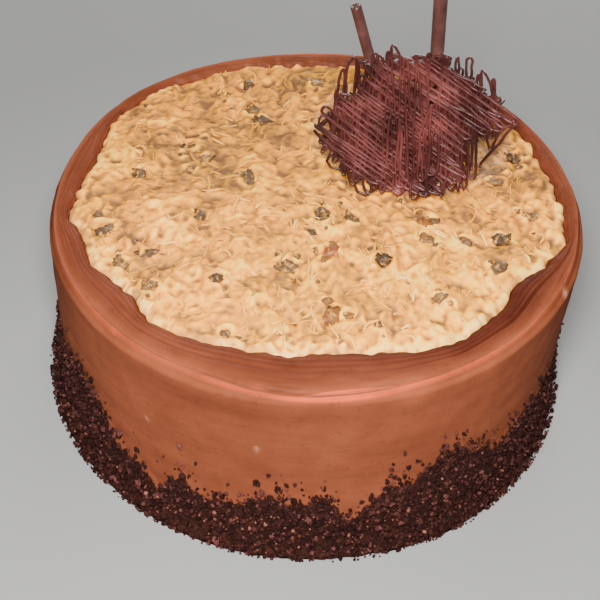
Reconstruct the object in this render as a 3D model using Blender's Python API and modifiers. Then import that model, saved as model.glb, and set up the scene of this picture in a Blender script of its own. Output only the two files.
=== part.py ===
"""A round cake in chocolate buttercream with a coconut and pecan topping.

The frosted cake is one turned solid whose collar surrounds a recess for the topping.
A filigree of piped chocolate leans on two rolled chocolate sticks near the back.
Lengths are in metres, +Z is up, and the origin is the middle of the cake's underside.
"""

import math
import random

import bmesh
import bpy
from mathutils import Matrix, Vector, noise

# Driving dimensions of the frosted cake
WALL_RADIUS = 0.1055
RIDGE_RADIUS = 0.1043
FOOT_RADIUS = 0.1125
CREST_HEIGHT = 0.0895
RIDGE_DROP = 0.0030
RIDGE_BEAD = 0.0006
LIP_DROP = 0.0014
RECESS_FLOOR = 0.0800
COLLAR_ROWS = 9
COMB_DEPTH = 0.0007
COMB_LINES = 3.5
SIDE_LEAN = 0.035
BULGE = 0.0020
BULGE_MIDDLE = math.radians(145.0)
BULGE_SPREAD = math.radians(20.0)
WALL_WAVES = 0.0004
TURN_STEPS = 90

# Crumbs pressed round the foot
CRUMB_BAND_HEIGHT = 0.034
CRUMB_RELIEF = 0.0016
CRUMB_COUNT = 84
CRUMB_SIZE = (0.0017, 0.0029)
# Where crumbs sit: radius, and lowest and highest place
CRUMB_SKIRT = (FOOT_RADIUS + 0.0004, 0.0030, 0.0040)
CRUMB_BAND = (WALL_RADIUS + 0.0016, 0.0080, 0.0280)
CRUMB_STRAY = (WALL_RADIUS + 0.0008, 0.0240, 0.0420)
CRUMB_ORDER = (CRUMB_SKIRT, CRUMB_BAND, CRUMB_BAND, CRUMB_STRAY)

# Coconut and pecan topping
TOPPING_RADIUS = 0.0933
TOPPING_SHIFT_BACK = 0.0045
TOPPING_WIDER = 0.0025
TOPPING_EDGE = 0.0862
TOPPING_DOME = 0.0032
TOPPING_RELIEF = 0.0011
TOPPING_STEPS = 64
SHRED_COUNT = 20
SHRED_SIZE = (0.011, 0.0018, 0.0012)
SHRED_REACH = 0.080
SHRED_RING = 40
GOLDEN_ANGLE = 2.4

# Chocolate filigree, a leaning lattice of piped strands
LATTICE_CENTRE = (0.0380, 0.0310, 0.1042)
LATTICE_TILT = math.radians(20.0)
STRAND_RADIUS = 0.0009
STRAND_PITCH = 0.0082
STRAND_LAYER = 0.0010
STRAND_LOOSE = (-0.0010, 0.0030)
# Each piped layer: direction in degrees, half width, half depth, squareness of its outline
LATTICE_LAYERS = (
    (90.0, 0.0340, 0.0325, 3.5),
    (-45.0, 0.0415, 0.0335, 1.7),
    (45.0, 0.0415, 0.0335, 1.7),
)

# Rolled chocolate sticks: a point low on the axis, its tip, and the radius
STICK_DEPTH = 0.0720
STICKS = {
    "stick_left": {"low": (0.0185, 0.0680, 0.1103), "top": (0.0105, 0.0705, 0.1335), "radius": 0.0025},
    "stick_right": {"low": (0.0469, 0.0690, 0.1119), "top": (0.0442, 0.0712, 0.1530), "radius": 0.0031},
}
STICK_EDGE = 0.0006
STICK_SIDES = 20

GAP = 0.0004
HOLE_GAP = 0.00035
MERGE = 0.0001

# Pecan pieces as they lie on the topping: place, and half sizes
PECANS = (
    ((-0.0804, -0.0244), (0.0048, 0.0040, 0.0022)),
    ((0.0080, -0.0665), (0.0050, 0.0042, 0.0024)),
    ((0.0027, -0.0114), (0.0046, 0.0026, 0.0022)),
    ((0.0144, -0.0135), (0.0034, 0.0024, 0.0020)),
    ((-0.0098, -0.0414), (0.0042, 0.0030, 0.0022)),
    ((0.0067, -0.0339), (0.0042, 0.0028, 0.0020)),
    ((0.0267, -0.0361), (0.0040, 0.0028, 0.0022)),
    ((0.0428, -0.0232), (0.0040, 0.0032, 0.0018)),
    ((0.0715, -0.0203), (0.0040, 0.0026, 0.0020)),
    ((0.0700, -0.0370), (0.0034, 0.0028, 0.0018)),
    ((-0.0447, -0.0150), (0.0040, 0.0024, 0.0020)),
    ((-0.0542, 0.0299), (0.0046, 0.0028, 0.0022)),
    ((-0.0722, 0.0106), (0.0036, 0.0028, 0.0020)),
    ((-0.0280, 0.0085), (0.0040, 0.0026, 0.0020)),
    ((-0.0283, -0.0760), (0.0030, 0.0026, 0.0018)),
    ((0.0476, -0.0549), (0.0032, 0.0024, 0.0018)),
    ((-0.0582, -0.0564), (0.0034, 0.0026, 0.0018)),
    ((-0.0300, 0.0560), (0.0038, 0.0026, 0.0020)),
)

COLOURS = {
    "cake": ((0.38, 0.15, 0.08), 0.45),
    "coconut_topping": ((0.78, 0.58, 0.34), 0.55),
    "lattice": ((0.09, 0.025, 0.02), 0.25),
    "stick_left": ((0.15, 0.06, 0.055), 0.35),
    "stick_right": ((0.15, 0.06, 0.055), 0.35),
}


def clear_scene():
    for item in list(bpy.data.objects):
        bpy.data.objects.remove(item, do_unlink=True)


def new_collection(name):
    collection = bpy.data.collections.new(name)
    bpy.context.scene.collection.children.link(collection)
    return collection


def move_to(item, collection):
    for owner in list(item.users_collection):
        owner.objects.unlink(item)
    collection.objects.link(item)


def make_material(name):
    colour, roughness = COLOURS[name]
    material = bpy.data.materials.new(name)
    material.use_nodes = True
    shader = material.node_tree.nodes["Principled BSDF"]
    shader.inputs["Base Color"].default_value = (*colour, 1.0)
    shader.inputs["Roughness"].default_value = roughness
    shader.inputs["Metallic"].default_value = 0.0
    return material


def mesh_object(name, mesh, collection):
    item = bpy.data.objects.new(name, mesh)
    collection.objects.link(item)
    return item


def make_active(item):
    bpy.ops.object.select_all(action="DESELECT")
    item.select_set(True)
    bpy.context.view_layer.objects.active = item


def apply_modifier(item, modifier):
    make_active(item)
    bpy.ops.object.modifier_apply(modifier=modifier.name)


def apply_transform(item):
    make_active(item)
    bpy.ops.object.transform_apply(location=True, rotation=True, scale=True)


def finish_part(item, smooth_angle):
    item.data.materials.clear()
    item.data.materials.append(make_material(item.name))
    item.data.shade_smooth()
    item.data.set_sharp_from_angle(angle=math.radians(smooth_angle))


def turned(name, profile, steps, collection):
    """Turn a profile of (radius, height) points into a closed solid."""
    mesh = bpy.data.meshes.new(name)
    points = [(radius, 0.0, height) for radius, height in profile]
    edges = [(index, index + 1) for index in range(len(points) - 1)]
    mesh.from_pydata(points, edges, [])
    item = mesh_object(name, mesh, collection)
    screw = item.modifiers.new("Turn", "SCREW")
    screw.angle = math.tau
    screw.steps = steps
    screw.render_steps = steps
    screw.use_merge_vertices = True
    screw.merge_threshold = MERGE / 10.0
    apply_modifier(item, screw)
    return item


def fuse(item, pieces, solver="EXACT"):
    """Join a collection of small pieces to the object in one union, then remove them."""
    union = item.modifiers.new("Fuse", "BOOLEAN")
    union.operation = "UNION"
    union.solver = solver
    union.operand_type = "COLLECTION"
    union.collection = pieces
    apply_modifier(item, union)
    for piece in list(pieces.objects):
        bpy.data.objects.remove(piece, do_unlink=True)
    bpy.data.collections.remove(pieces)


def clean_union(item):
    """Keep the largest connected body, without points that only divide an edge."""
    mesh = bmesh.new()
    mesh.from_mesh(item.data)
    unseen = set(mesh.verts)
    bodies = []
    while unseen:
        stack = [unseen.pop()]
        body = set(stack)
        while stack:
            for edge in stack.pop().link_edges:
                for vert in edge.verts:
                    if vert in unseen:
                        unseen.discard(vert)
                        body.add(vert)
                        stack.append(vert)
        bodies.append(body)
    bodies.sort(key=len, reverse=True)
    for body in bodies[1:]:
        bmesh.ops.delete(mesh, geom=list(body), context="VERTS")
    between = [vert for vert in mesh.verts if len(vert.link_edges) == 2]
    bmesh.ops.dissolve_verts(mesh, verts=between)
    bmesh.ops.triangulate(mesh, faces=mesh.faces)
    mesh.to_mesh(item.data)
    mesh.free()


def topping_radius(angle):
    """Uneven inner edge of the collar: narrow at the back and sides, wide at the front."""
    ripple = 0.0008 * math.sin(5.0 * angle + 1.0) + 0.0006 * math.sin(9.0 * angle + 2.3)
    shift = TOPPING_SHIFT_BACK * math.sin(angle)
    return TOPPING_RADIUS + shift + TOPPING_WIDER * math.cos(2.0 * angle) + ripple


def bulge(angle):
    """The frosting swells outward a little at the back left."""
    return BULGE * math.exp(-(((angle - BULGE_MIDDLE) / BULGE_SPREAD) ** 2))


def leaned(point):
    """Raise the side toward +X in proportion to height, so that the base stays flat."""
    return point.z * (1.0 + SIDE_LEAN * point.x / CREST_HEIGHT)


def collar_height(across, angle):
    """Height of the combed collar, from its inner lip (0) to its outer ridge (1)."""
    slope = RIDGE_DROP * across ** 1.5
    comb = 0.5 * COMB_DEPTH * (1.0 - math.cos(math.tau * COMB_LINES * across + angle))
    bead = RIDGE_BEAD * math.exp(-(((across - 0.93) / 0.06) ** 2))
    lip = LIP_DROP * math.exp(-((across / 0.08) ** 2))
    return CREST_HEIGHT - slope - comb + bead - lip


def cake_profile():
    """Outline from the recess floor over the collar and down the wall to the underside."""
    collar = [row / (COLLAR_ROWS - 1) for row in range(COLLAR_ROWS)]
    inner = TOPPING_RADIUS
    width = RIDGE_RADIUS - inner
    profile = [(0.0, RECESS_FLOOR), (inner, RECESS_FLOOR)]
    profile += [(inner + width * across, CREST_HEIGHT - RIDGE_DROP * across) for across in collar]
    profile += [(0.10500, 0.0848), (0.10540, 0.0832), (WALL_RADIUS, 0.0800)]
    profile += [(WALL_RADIUS, 0.0660), (WALL_RADIUS, 0.0520), (WALL_RADIUS + 0.0002, 0.0410)]
    profile += [(0.1064, CRUMB_BAND_HEIGHT), (0.1069, 0.0250), (0.1072, 0.0160)]
    profile += [(0.1090, 0.0085), (0.1116, 0.0028), (FOOT_RADIUS, 0.0), (0.0, 0.0)]
    return profile


def shape_cake(item):
    """Move the turned points to the uneven collar, the bumpy crumb band and the lean."""
    inner, width = TOPPING_RADIUS, RIDGE_RADIUS - TOPPING_RADIUS
    for vert in item.data.vertices:
        point = vert.co
        radius, angle = math.hypot(point.x, point.y), math.atan2(point.y, point.x)
        height = point.z
        across = (radius - inner) / width
        on_recess = height > RECESS_FLOOR - MERGE and radius < inner + MERGE / 10.0
        on_collar = height > RECESS_FLOOR + 0.005 and -0.001 < across < 1.001
        if on_collar:
            edge = topping_radius(angle)
            radius = edge + (RIDGE_RADIUS + bulge(angle) - edge) * across
            height = collar_height(max(across, 0.0), angle)
        elif on_recess and radius > MERGE:
            radius = topping_radius(angle)
        elif radius > inner:
            radius += bulge(angle) * height / CREST_HEIGHT
            waves = noise.noise(Vector((point.x, point.y, 2.0 * height)) * 18.0)
            radius += WALL_WAVES * waves
        if 0.001 < height < CRUMB_BAND_HEIGHT + 0.001 and radius > inner:
            bumps = noise.noise(Vector((point.x, point.y, height)) * 160.0)
            radius += CRUMB_RELIEF * bumps
        vert.co = Vector((radius * math.cos(angle), radius * math.sin(angle), height))
        vert.co.z = leaned(vert.co)


def crumb_spots(rng):
    """Places on the wall's foot and round it, dense low down and sparse above."""
    for index in range(CRUMB_COUNT):
        angle = math.tau * (index + 0.8 * rng.random()) / CRUMB_COUNT
        radius, low, high = CRUMB_ORDER[index % len(CRUMB_ORDER)]
        yield angle, radius, rng.uniform(low, high)


def make_crumbs(rng):
    pieces = new_collection("crumbs")
    for index, (angle, radius, height) in enumerate(crumb_spots(rng)):
        size = rng.uniform(*CRUMB_SIZE)
        place = Vector((radius * math.cos(angle), radius * math.sin(angle), height))
        bpy.ops.mesh.primitive_ico_sphere_add(subdivisions=1, radius=size, location=place)
        crumb = bpy.context.active_object
        crumb.name = f"crumb_{index}"
        crumb.scale = (1.0, rng.uniform(0.7, 1.0), rng.uniform(0.7, 1.0))
        crumb.rotation_euler = (rng.uniform(0.0, 3.0), rng.uniform(0.0, 3.0), angle)
        apply_transform(crumb)
        move_to(crumb, pieces)
    return pieces


def build_cake(parts):
    cake = turned("cake", cake_profile(), TURN_STEPS, parts)
    shape_cake(cake)
    fuse(cake, make_crumbs(random.Random(11)))
    clean_union(cake)
    finish_part(cake, 40.0)
    return cake


def topping_surface(x, y):
    """Height of the topping's rough, slightly domed surface before the lean."""
    radius, angle = math.hypot(x, y), math.atan2(y, x)
    share = min(radius / topping_radius(angle), 1.0)
    rough = noise.noise(Vector((x, y, 0.0)) * 75.0) + 0.6 * noise.noise(Vector((x, y, 0.5)) * 150.0)
    across = (x - LATTICE_CENTRE[0]) / 0.030
    along = (y - LATTICE_CENTRE[1] + 0.030) / 0.022
    relief = TOPPING_RELIEF * rough * (1.0 - 0.8 * math.exp(-(across ** 2) - along ** 2))
    return TOPPING_EDGE + TOPPING_DOME * (1.0 - share ** 2) + relief


def topping_profile():
    """Flat rows for the surface, then the edge, the side and the underside."""
    rows = [0.0, 0.15, 0.29, 0.42, 0.53, 0.63, 0.72, 0.80, 0.87, 0.93, 0.98]
    outer = TOPPING_RADIUS - GAP
    profile = [(outer * share, TOPPING_EDGE) for share in rows]
    profile += [(outer, TOPPING_EDGE - 0.0012), (outer, RECESS_FLOOR + GAP), (0.0, RECESS_FLOOR + GAP)]
    return profile


def shape_topping(item):
    outer = TOPPING_RADIUS - GAP
    for vert in item.data.vertices:
        angle = math.atan2(vert.co.y, vert.co.x)
        share = math.hypot(vert.co.x, vert.co.y) / outer
        radius = share * (topping_radius(angle) - GAP)
        x, y, height = radius * math.cos(angle), radius * math.sin(angle), vert.co.z
        if height > TOPPING_EDGE - MERGE:
            height = topping_surface(x, y)
        vert.co = Vector((x, y, height))
        vert.co.z = leaned(vert.co)


def on_topping(x, y, sunk):
    """A point sunk this far into the topping's surface."""
    point = Vector((x, y, topping_surface(x, y) - sunk))
    point.z = leaned(point)
    return point


def under_garnish(x, y):
    """Whether a place lies below the lattice or beside the sticks."""
    return abs(x - LATTICE_CENTRE[0]) < 0.044 and y > LATTICE_CENTRE[1] - 0.039


def make_pecans(rng, pieces):
    for index, ((x, y), (half_length, half_width, half_height)) in enumerate(PECANS):
        place = on_topping(x, y, 0.15 * half_height)
        bpy.ops.mesh.primitive_ico_sphere_add(subdivisions=1, radius=1.0, location=place)
        pecan = bpy.context.active_object
        pecan.name = f"pecan_{index}"
        pecan.scale = (half_length, half_width, half_height)
        pecan.rotation_euler = (0.0, rng.uniform(-0.2, 0.2), rng.uniform(0.0, math.pi))
        apply_transform(pecan)
        move_to(pecan, pieces)


def make_shreds(rng, pieces):
    """Coconut shreds lying at all angles, spread evenly by the golden angle."""
    made, turn = 0, 0
    while made < SHRED_COUNT:
        turn += 1
        radius = SHRED_REACH * math.sqrt((turn % SHRED_RING + 0.5) / SHRED_RING)
        x, y = radius * math.cos(GOLDEN_ANGLE * turn), radius * math.sin(GOLDEN_ANGLE * turn)
        if under_garnish(x, y):
            continue
        length, width, height = SHRED_SIZE
        bpy.ops.mesh.primitive_cube_add(size=1.0, location=on_topping(x, y, 0.0001))
        shred = bpy.context.active_object
        shred.name = f"shred_{made}"
        shred.scale = (length * rng.uniform(0.7, 1.1), width, height)
        tip, dip = rng.uniform(-0.3, 0.3), rng.uniform(-0.1, 0.1)
        shred.rotation_euler = (tip, dip, rng.uniform(0.0, math.pi))
        apply_transform(shred)
        move_to(shred, pieces)
        made += 1


def build_topping(parts):
    topping = turned("coconut_topping", topping_profile(), TOPPING_STEPS, parts)
    shape_topping(topping)
    rng = random.Random(5)
    pieces = new_collection("nuts and shreds")
    make_pecans(rng, pieces)
    make_shreds(rng, pieces)
    fuse(topping, pieces)
    clean_union(topping)
    finish_part(topping, 50.0)
    return topping


def reach(start, direction, layer):
    """How far a pass runs from its start before it leaves the layer's outline."""
    _, half_width, half_depth, squareness = layer
    length = 0.0
    while length < 2.0 * half_width:
        point = start + direction * length
        across, along = abs(point.x) / half_width, abs(point.y) / half_depth
        if across ** squareness + along ** squareness > 1.0:
            break
        length += 0.0002
    return length


def zigzag(layer, height, rng):
    """Points of one layer: passes to and fro, joined by short loops at their ends."""
    turn, half_width = math.radians(layer[0]), layer[1]
    along = Vector((math.cos(turn), math.sin(turn), 0.0))
    across = Vector((-along.y, along.x, 0.0))
    lift = Vector((0.0, 0.0, height))
    count = 2 * int(half_width / STRAND_PITCH - 0.3) + 1
    points = []
    for index in range(count):
        start = across * ((index - count // 2) * STRAND_PITCH)
        way = along if index % 2 else -along
        for direction in (-way, way):
            length = reach(start, direction, layer) + rng.uniform(*STRAND_LOOSE)
            points.append(start + direction * length + lift)
    return points


def piped_strand(name, points, collection):
    """A round strand along the points, turned from a curve into a closed mesh."""
    curve = bpy.data.curves.new(name, "CURVE")
    curve.dimensions = "3D"
    curve.bevel_depth = STRAND_RADIUS
    curve.bevel_resolution = 1
    curve.use_fill_caps = True
    spline = curve.splines.new("POLY")
    spline.points.add(len(points) - 1)
    for control, point in zip(spline.points, points):
        control.co = (*point, 1.0)
    guide = mesh_object(name + "_guide", curve, collection)
    bpy.context.view_layer.update()
    shaped = guide.evaluated_get(bpy.context.evaluated_depsgraph_get())
    mesh = bpy.data.meshes.new_from_object(shaped)
    cleaner = bmesh.new()
    cleaner.from_mesh(mesh)
    bmesh.ops.remove_doubles(cleaner, verts=cleaner.verts, dist=MERGE / 10.0)
    cleaner.to_mesh(mesh)
    cleaner.free()
    strand = mesh_object(name, mesh, collection)
    strand.matrix_world = guide.matrix_world.copy()
    bpy.data.objects.remove(guide, do_unlink=True)
    bpy.data.curves.remove(curve)
    return strand


def build_lattice(parts):
    rng = random.Random(3)
    pieces = new_collection("strands")
    layers = []
    for index, layer in enumerate(LATTICE_LAYERS):
        owner = parts if index == 0 else pieces
        points = zigzag(layer, index * STRAND_LAYER, rng)
        layers.append(piped_strand(f"layer_{index}", points, owner))
    lattice = layers[0]
    lattice.name = "lattice"
    fuse(lattice, pieces, "MANIFOLD")
    clean_union(lattice)
    lattice.location = Vector(LATTICE_CENTRE)
    lattice.rotation_euler = (LATTICE_TILT, 0.0, 0.0)
    finish_part(lattice, 50.0)
    return lattice


def stick_axis(name):
    """Foot and tip of a stick's axis, from where it shows to its buried end."""
    low, top = Vector(STICKS[name]["low"]), Vector(STICKS[name]["top"])
    along = top - low
    foot = low - along * ((low.z - STICK_DEPTH) / along.z)
    return foot, top


def rod(name, foot, tip, radius, collection):
    along = tip - foot
    bpy.ops.mesh.primitive_cylinder_add(vertices=STICK_SIDES, radius=radius, depth=along.length)
    item = bpy.context.active_object
    item.name = name
    item.location = 0.5 * (foot + tip)
    item.rotation_mode = "QUATERNION"
    item.rotation_quaternion = along.to_track_quat("Z", "Y")
    move_to(item, collection)
    return item


def build_stick(name, parts):
    foot, tip = stick_axis(name)
    stick = rod(name, foot, tip, STICKS[name]["radius"], parts)
    edge = stick.modifiers.new("Worn edge", "BEVEL")
    edge.width = STICK_EDGE
    edge.segments = 1
    finish_part(stick, 40.0)
    return stick


def drill(item, name, cutters):
    """Cut the hole that a stick is pushed into."""
    foot, tip = stick_axis(name)
    along = (tip - foot).normalized()
    radius = STICKS[name]["radius"] + HOLE_GAP
    cutter = rod(f"{item.name}_{name}_hole", foot - along * HOLE_GAP, tip, radius, cutters)
    cutter.hide_render = True
    cutter.display_type = "WIRE"
    hole = item.modifiers.new(name + " hole", "BOOLEAN")
    hole.operation = "DIFFERENCE"
    hole.solver = "EXACT"
    hole.object = cutter


def build():
    clear_scene()
    parts = new_collection("frosted cake")
    cutters = new_collection("cutters")
    cake = build_cake(parts)
    topping = build_topping(parts)
    build_lattice(parts)
    for name in STICKS:
        build_stick(name, parts)
        drill(cake, name, cutters)
        drill(topping, name, cutters)


build()
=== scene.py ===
"""Looks of the frosted cake: buttercream, crumbs, coconut topping and chocolate garnish.

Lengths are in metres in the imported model's frame. The shape functions repeat the
solids' own formulas, so every piece lies where its solid lies. Bumps round the turn are
rows of middle and spread, both in degrees, and amount.
"""

import math
import random
from collections import namedtuple

import bpy
import numpy as np
from mathutils import Matrix, Quaternion, Vector, noise


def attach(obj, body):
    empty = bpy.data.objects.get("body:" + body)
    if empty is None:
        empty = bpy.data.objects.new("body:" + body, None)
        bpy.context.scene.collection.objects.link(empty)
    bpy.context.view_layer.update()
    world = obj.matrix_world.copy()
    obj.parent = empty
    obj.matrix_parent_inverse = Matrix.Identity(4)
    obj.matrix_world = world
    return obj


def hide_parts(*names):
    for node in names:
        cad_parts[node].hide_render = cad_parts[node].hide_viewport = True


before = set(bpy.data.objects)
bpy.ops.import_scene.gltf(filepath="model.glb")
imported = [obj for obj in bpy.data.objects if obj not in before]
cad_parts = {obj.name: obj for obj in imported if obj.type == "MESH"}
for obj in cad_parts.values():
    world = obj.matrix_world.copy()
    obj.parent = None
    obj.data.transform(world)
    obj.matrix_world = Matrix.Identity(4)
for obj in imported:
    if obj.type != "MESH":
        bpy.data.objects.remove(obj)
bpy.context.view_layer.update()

# The frosted cake, as in the solids
WALL_RADIUS = 0.1055
RIDGE_RADIUS = 0.1043
FOOT_RADIUS = 0.1125
CREST_HEIGHT = 0.0895
RIDGE_DROP = 0.0030
COLLAR_DIP = 0.0008
LIP_DROP = 0.0014
RECESS_FLOOR = 0.0800
SIDE_LEAN = 0.035
BULGE = 0.0020
BULGE_MIDDLE = math.radians(145.0)
BULGE_SPREAD = math.radians(20.0)
CRUMB_BAND_HEIGHT = 0.034
CRUMB_BAND_SWELL = 0.0012
CRUMB_BAND_FADE = 0.004
FOOT_FLARE = FOOT_RADIUS - WALL_RADIUS - 0.0026
RIDGE_EDGE = 0.0013
# Angle at which the ridge runs furthest out and is lowest, in degrees
FRONT = -88.0

# The comb's marks across the collar, the bead on its ridge and the hollow under the ridge
COMB_LINES = 8.0
COMB_DEPTH = 0.00024
COMBED_WIDTH = 0.010
GROOVE_AT = 0.46
GROOVE_DEPTH = 0.0010
GROOVE_BUMPS = ((-36.0, 26.0, 0.90), (-132.0, 22.0, 0.50))
TERRACE_DEPTH = 0.0007
TERRACE_BUMPS = ((-34.0, 28.0, 1.0), (-140.0, 24.0, 0.4))
BEAD_HEIGHT = 0.0008
BEAD_SPREAD = 0.0007
CHAMFER_DROP = 0.0011
HOLLOW_HEIGHT = 0.0745
# Radii from which the collar has its painted shade and highlights, the crumbs cling and the smears show
PAINTED_TONE_FROM = 0.080
CRUMBED_FROM = 0.1
SMEARED_FROM = 0.1034
# Folds of frosting inside the ridge: first and last angle in degrees, distance from the
# outline at the start, middle and end, half width and height
FOLDS = (
    (-90.5, -70.0, 0.0012, 0.0026, 0.0018, 0.0006, 0.0009),
    (-88.0, -73.0, 0.0004, 0.0011, 0.0006, 0.0004, 0.0004),
    (-100.5, -96.5, 0.0028, 0.0022, 0.0024, 0.0006, 0.0006),
    (-121.0, -102.0, 0.0016, 0.0022, 0.0014, 0.0005, 0.0006),
    (-153.0, -124.0, 0.0016, 0.0034, 0.0028, 0.0008, 0.0006),
    (-38.0, -9.0, 0.0024, 0.0036, 0.0016, 0.0009, 0.0006),
    (24.0, 58.0, 0.0018, 0.0034, 0.0022, 0.0009, 0.0007),
    (92.0, 118.0, 0.0018, 0.0036, 0.0014, 0.0010, 0.0008),
)
# Painted highlights and painted shade along the ridge: angle and spread in degrees, distance
# inside the crest and its spread, amount
RIDGE_HIGHLIGHT_SHADE = (
    (-86.0, 11.0, -0.0008, 0.0009, 0.62),
    (-83.0, 5.5, 0.0020, 0.0008, 0.34),
    (-84.0, 6.0, 0.0008, 0.0005, -0.14),
    (-77.0, 3.5, 0.0032, 0.0010, 0.12),
    (-94.0, 3.5, 0.0022, 0.0018, -0.20),
    (-98.5, 1.3, 0.0024, 0.0009, 0.24),
    (-68.5, 2.5, 0.0008, 0.0008, 0.20),
    (-104.0, 5.0, -0.0004, 0.0007, 0.20),
    (-60.0, 16.0, 0.0000, 0.0008, 0.16),
    (-118.0, 9.0, 0.0014, 0.0007, 0.16),
    (-131.0, 1.5, -0.0004, 0.0010, 0.24),
    (-172.0, 24.0, -0.0022, 0.0016, -0.30),
    (97.0, 12.0, -0.0002, 0.0014, 0.34),
    (112.0, 9.0, 0.0030, 0.0030, 0.16),
)
# Small pale smears on the frosting: angle in degrees, height, half width, half height
SMEARS = (
    (-97.9, 0.0590, 0.0008, 0.0014),
    (-122.0, 0.0530, 0.0010, 0.0011),
    (-25.6, 0.0856, 0.0015, 0.0023),
)

# The topping, as in the solids
TOPPING_RADIUS = 0.0933
TOPPING_SHIFT_BACK = 0.0045
TOPPING_WIDER = 0.0025
TOPPING_EDGE = 0.0862
TOPPING_DOME = 0.0032
TOPPING_RELIEF = 0.0011
GAP = 0.0004
# Where the topping's edge strays from that outline, as bumps round the turn
EDGE_STRAYS = (
    (-172.0, 8.0, 0.0028), (-160.0, 5.0, -0.0016), (-139.0, 7.0, -0.0030), (-115.0, 10.0, 0.0012),
    (-82.0, 9.0, -0.0034), (-56.0, 7.0, 0.0024), (-30.0, 7.0, -0.0036), (-10.0, 11.0, 0.0028),
    (32.0, 8.0, 0.0026), (108.0, 12.0, 0.0020), (136.0, 17.0, 0.0064), (167.0, 7.0, -0.0028),
)
EDGE_RISE = 0.0017
# The rim of the mix curls down to the collar's lip and is painted paler against its shade
RIM_FROM = 0.97
RIM_CURL = 0.0016
RIM_PAINTED_LIGHT = 0.20
# Cells nearer than this are averaged to find the hollows
HOLLOW_REACH = 0.0016
# Pecan pieces as they lie on the topping: place, half sizes and tone
PECANS = (
    ((-0.0804, -0.0244), (0.0048, 0.0040, 0.0022), 0.25),
    ((0.0080, -0.0665), (0.0050, 0.0042, 0.0024), 0.85),
    ((0.0027, -0.0114), (0.0046, 0.0026, 0.0022), 0.20),
    ((0.0144, -0.0135), (0.0034, 0.0024, 0.0020), 0.45),
    ((-0.0098, -0.0414), (0.0042, 0.0030, 0.0022), 0.40),
    ((0.0067, -0.0339), (0.0042, 0.0028, 0.0020), 1.00),
    ((0.0267, -0.0361), (0.0040, 0.0028, 0.0022), 0.08),
    ((0.0428, -0.0232), (0.0040, 0.0032, 0.0018), 0.70),
    ((0.0428, -0.0132), (0.0036, 0.0028, 0.0018), 0.88),
    ((0.0715, -0.0203), (0.0040, 0.0026, 0.0020), 0.08),
    ((0.0700, -0.0370), (0.0034, 0.0028, 0.0018), 0.30),
    ((0.0845, -0.0040), (0.0034, 0.0026, 0.0018), 0.55),
    ((0.0800, 0.0323), (0.0046, 0.0026, 0.0020), 0.12),
    ((-0.0447, -0.0150), (0.0040, 0.0024, 0.0020), 0.22),
    ((-0.0542, 0.0299), (0.0046, 0.0028, 0.0022), 0.25),
    ((-0.0722, 0.0106), (0.0036, 0.0028, 0.0020), 0.35),
    ((-0.0714, -0.0437), (0.0034, 0.0026, 0.0018), 0.60),
    ((-0.0280, 0.0085), (0.0040, 0.0026, 0.0020), 0.30),
    ((-0.0283, -0.0760), (0.0030, 0.0026, 0.0018), 0.40),
    ((0.0476, -0.0549), (0.0032, 0.0024, 0.0018), 0.65),
    ((-0.0582, -0.0564), (0.0034, 0.0026, 0.0018), 0.62),
    ((-0.0300, 0.0560), (0.0038, 0.0026, 0.0020), 0.50),
)
# Nuts in all; half widths from which they are finer and stand out more
NUT_COUNT = 100
LARGE_NUT = 0.0028
WIDE_NUT = 0.0032
# Shreds that lie loose on the mix
SHRED_COUNT = 700

# The garnish, as in the solids
LATTICE_CENTRE = (0.0380, 0.0310, 0.1042)
LATTICE_TILT = math.radians(20.0)
LATTICE_HALF_WIDTH = 0.0415
LATTICE_HALF_DEPTH = 0.0335
STICKS = {
    "stick_left": {"low": (0.0185, 0.0680, 0.1103), "top": (0.0105, 0.0705, 0.1335), "radius": 0.0025},
    "stick_right": {"low": (0.0469, 0.0690, 0.1119), "top": (0.0442, 0.0712, 0.1530), "radius": 0.0031},
}
# Height of the sticks' hidden feet, and how far their seam winds round
STICK_FOOT = 0.0745
STICK_TWIST = 0.9
STRAND_RADIUS = 0.00062
STRAND_HEIGHT = 0.00085
STRAND_STEP = 0.0011
# Levels of the strands that belong to no layer, in strand heights
LOOSE_LEVEL = 1.6
UPRIGHT_LEVEL = 3.3
CROWN_X = -0.002
CROWN_SPREAD = 0.018
# Passes shorter than this are left out, and some run longer than the outline
SHORTEST_PASS = 0.006
REACH_STEP = 0.0002
LONG_SHARE = 0.20
LONG_EXTRA = 0.0022
# Upright passes over the lower middle: from and to which place across, and their low ends
UPRIGHT_SPAN = (-0.0112, 0.0095)
UPRIGHT_LOW = -0.0305
# Layers of the filigree: direction in degrees, pitch, half width, half depth and squareness
# of the outline, how unevenly the passes end, how far the layer stands up along the middle,
# its level above the lowest full one and its painted lift: painted shade below zero on the
# lower layers, painted highlight above zero
Layer = namedtuple("Layer", "turn pitch half_width half_depth squareness uneven crown level paler")
STRAND_LAYERS = (
    Layer(52.0, 0.0014, LATTICE_HALF_WIDTH, LATTICE_HALF_DEPTH, 1.8, 0.0038, 0.0, 0.0, -1.0),
    Layer(90.0, 0.0020, 0.0350, 0.0340, 3.2, 0.0060, 0.0012, 1.0, 0.0),
    Layer(-38.0, 0.0018, LATTICE_HALF_WIDTH, LATTICE_HALF_DEPTH, 1.8, 0.0046, 0.0, 2.0, 1.0),
    Layer(-66.0, 0.0016, 0.90 * LATTICE_HALF_WIDTH, 0.88 * LATTICE_HALF_DEPTH, 1.8, 0.0030, 0.0, -0.7, -2.2),
)
# Corners cut off the outline, each by a sloping line: its start and slope. The upper ones
# are left to the upright layer, which is the one with a crown.
LOWER_CUTS = ((0.0190, -0.0080, 0.5), (0.0090, -0.0320, 0.55))
UPPER_RIGHT_CUT = (0.0140, 0.0290, -0.75)
UPPER_LEFT_CUT = (-0.0350, 0.0040, 1.1)
UPPER_LEFT_END = -0.021
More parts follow.
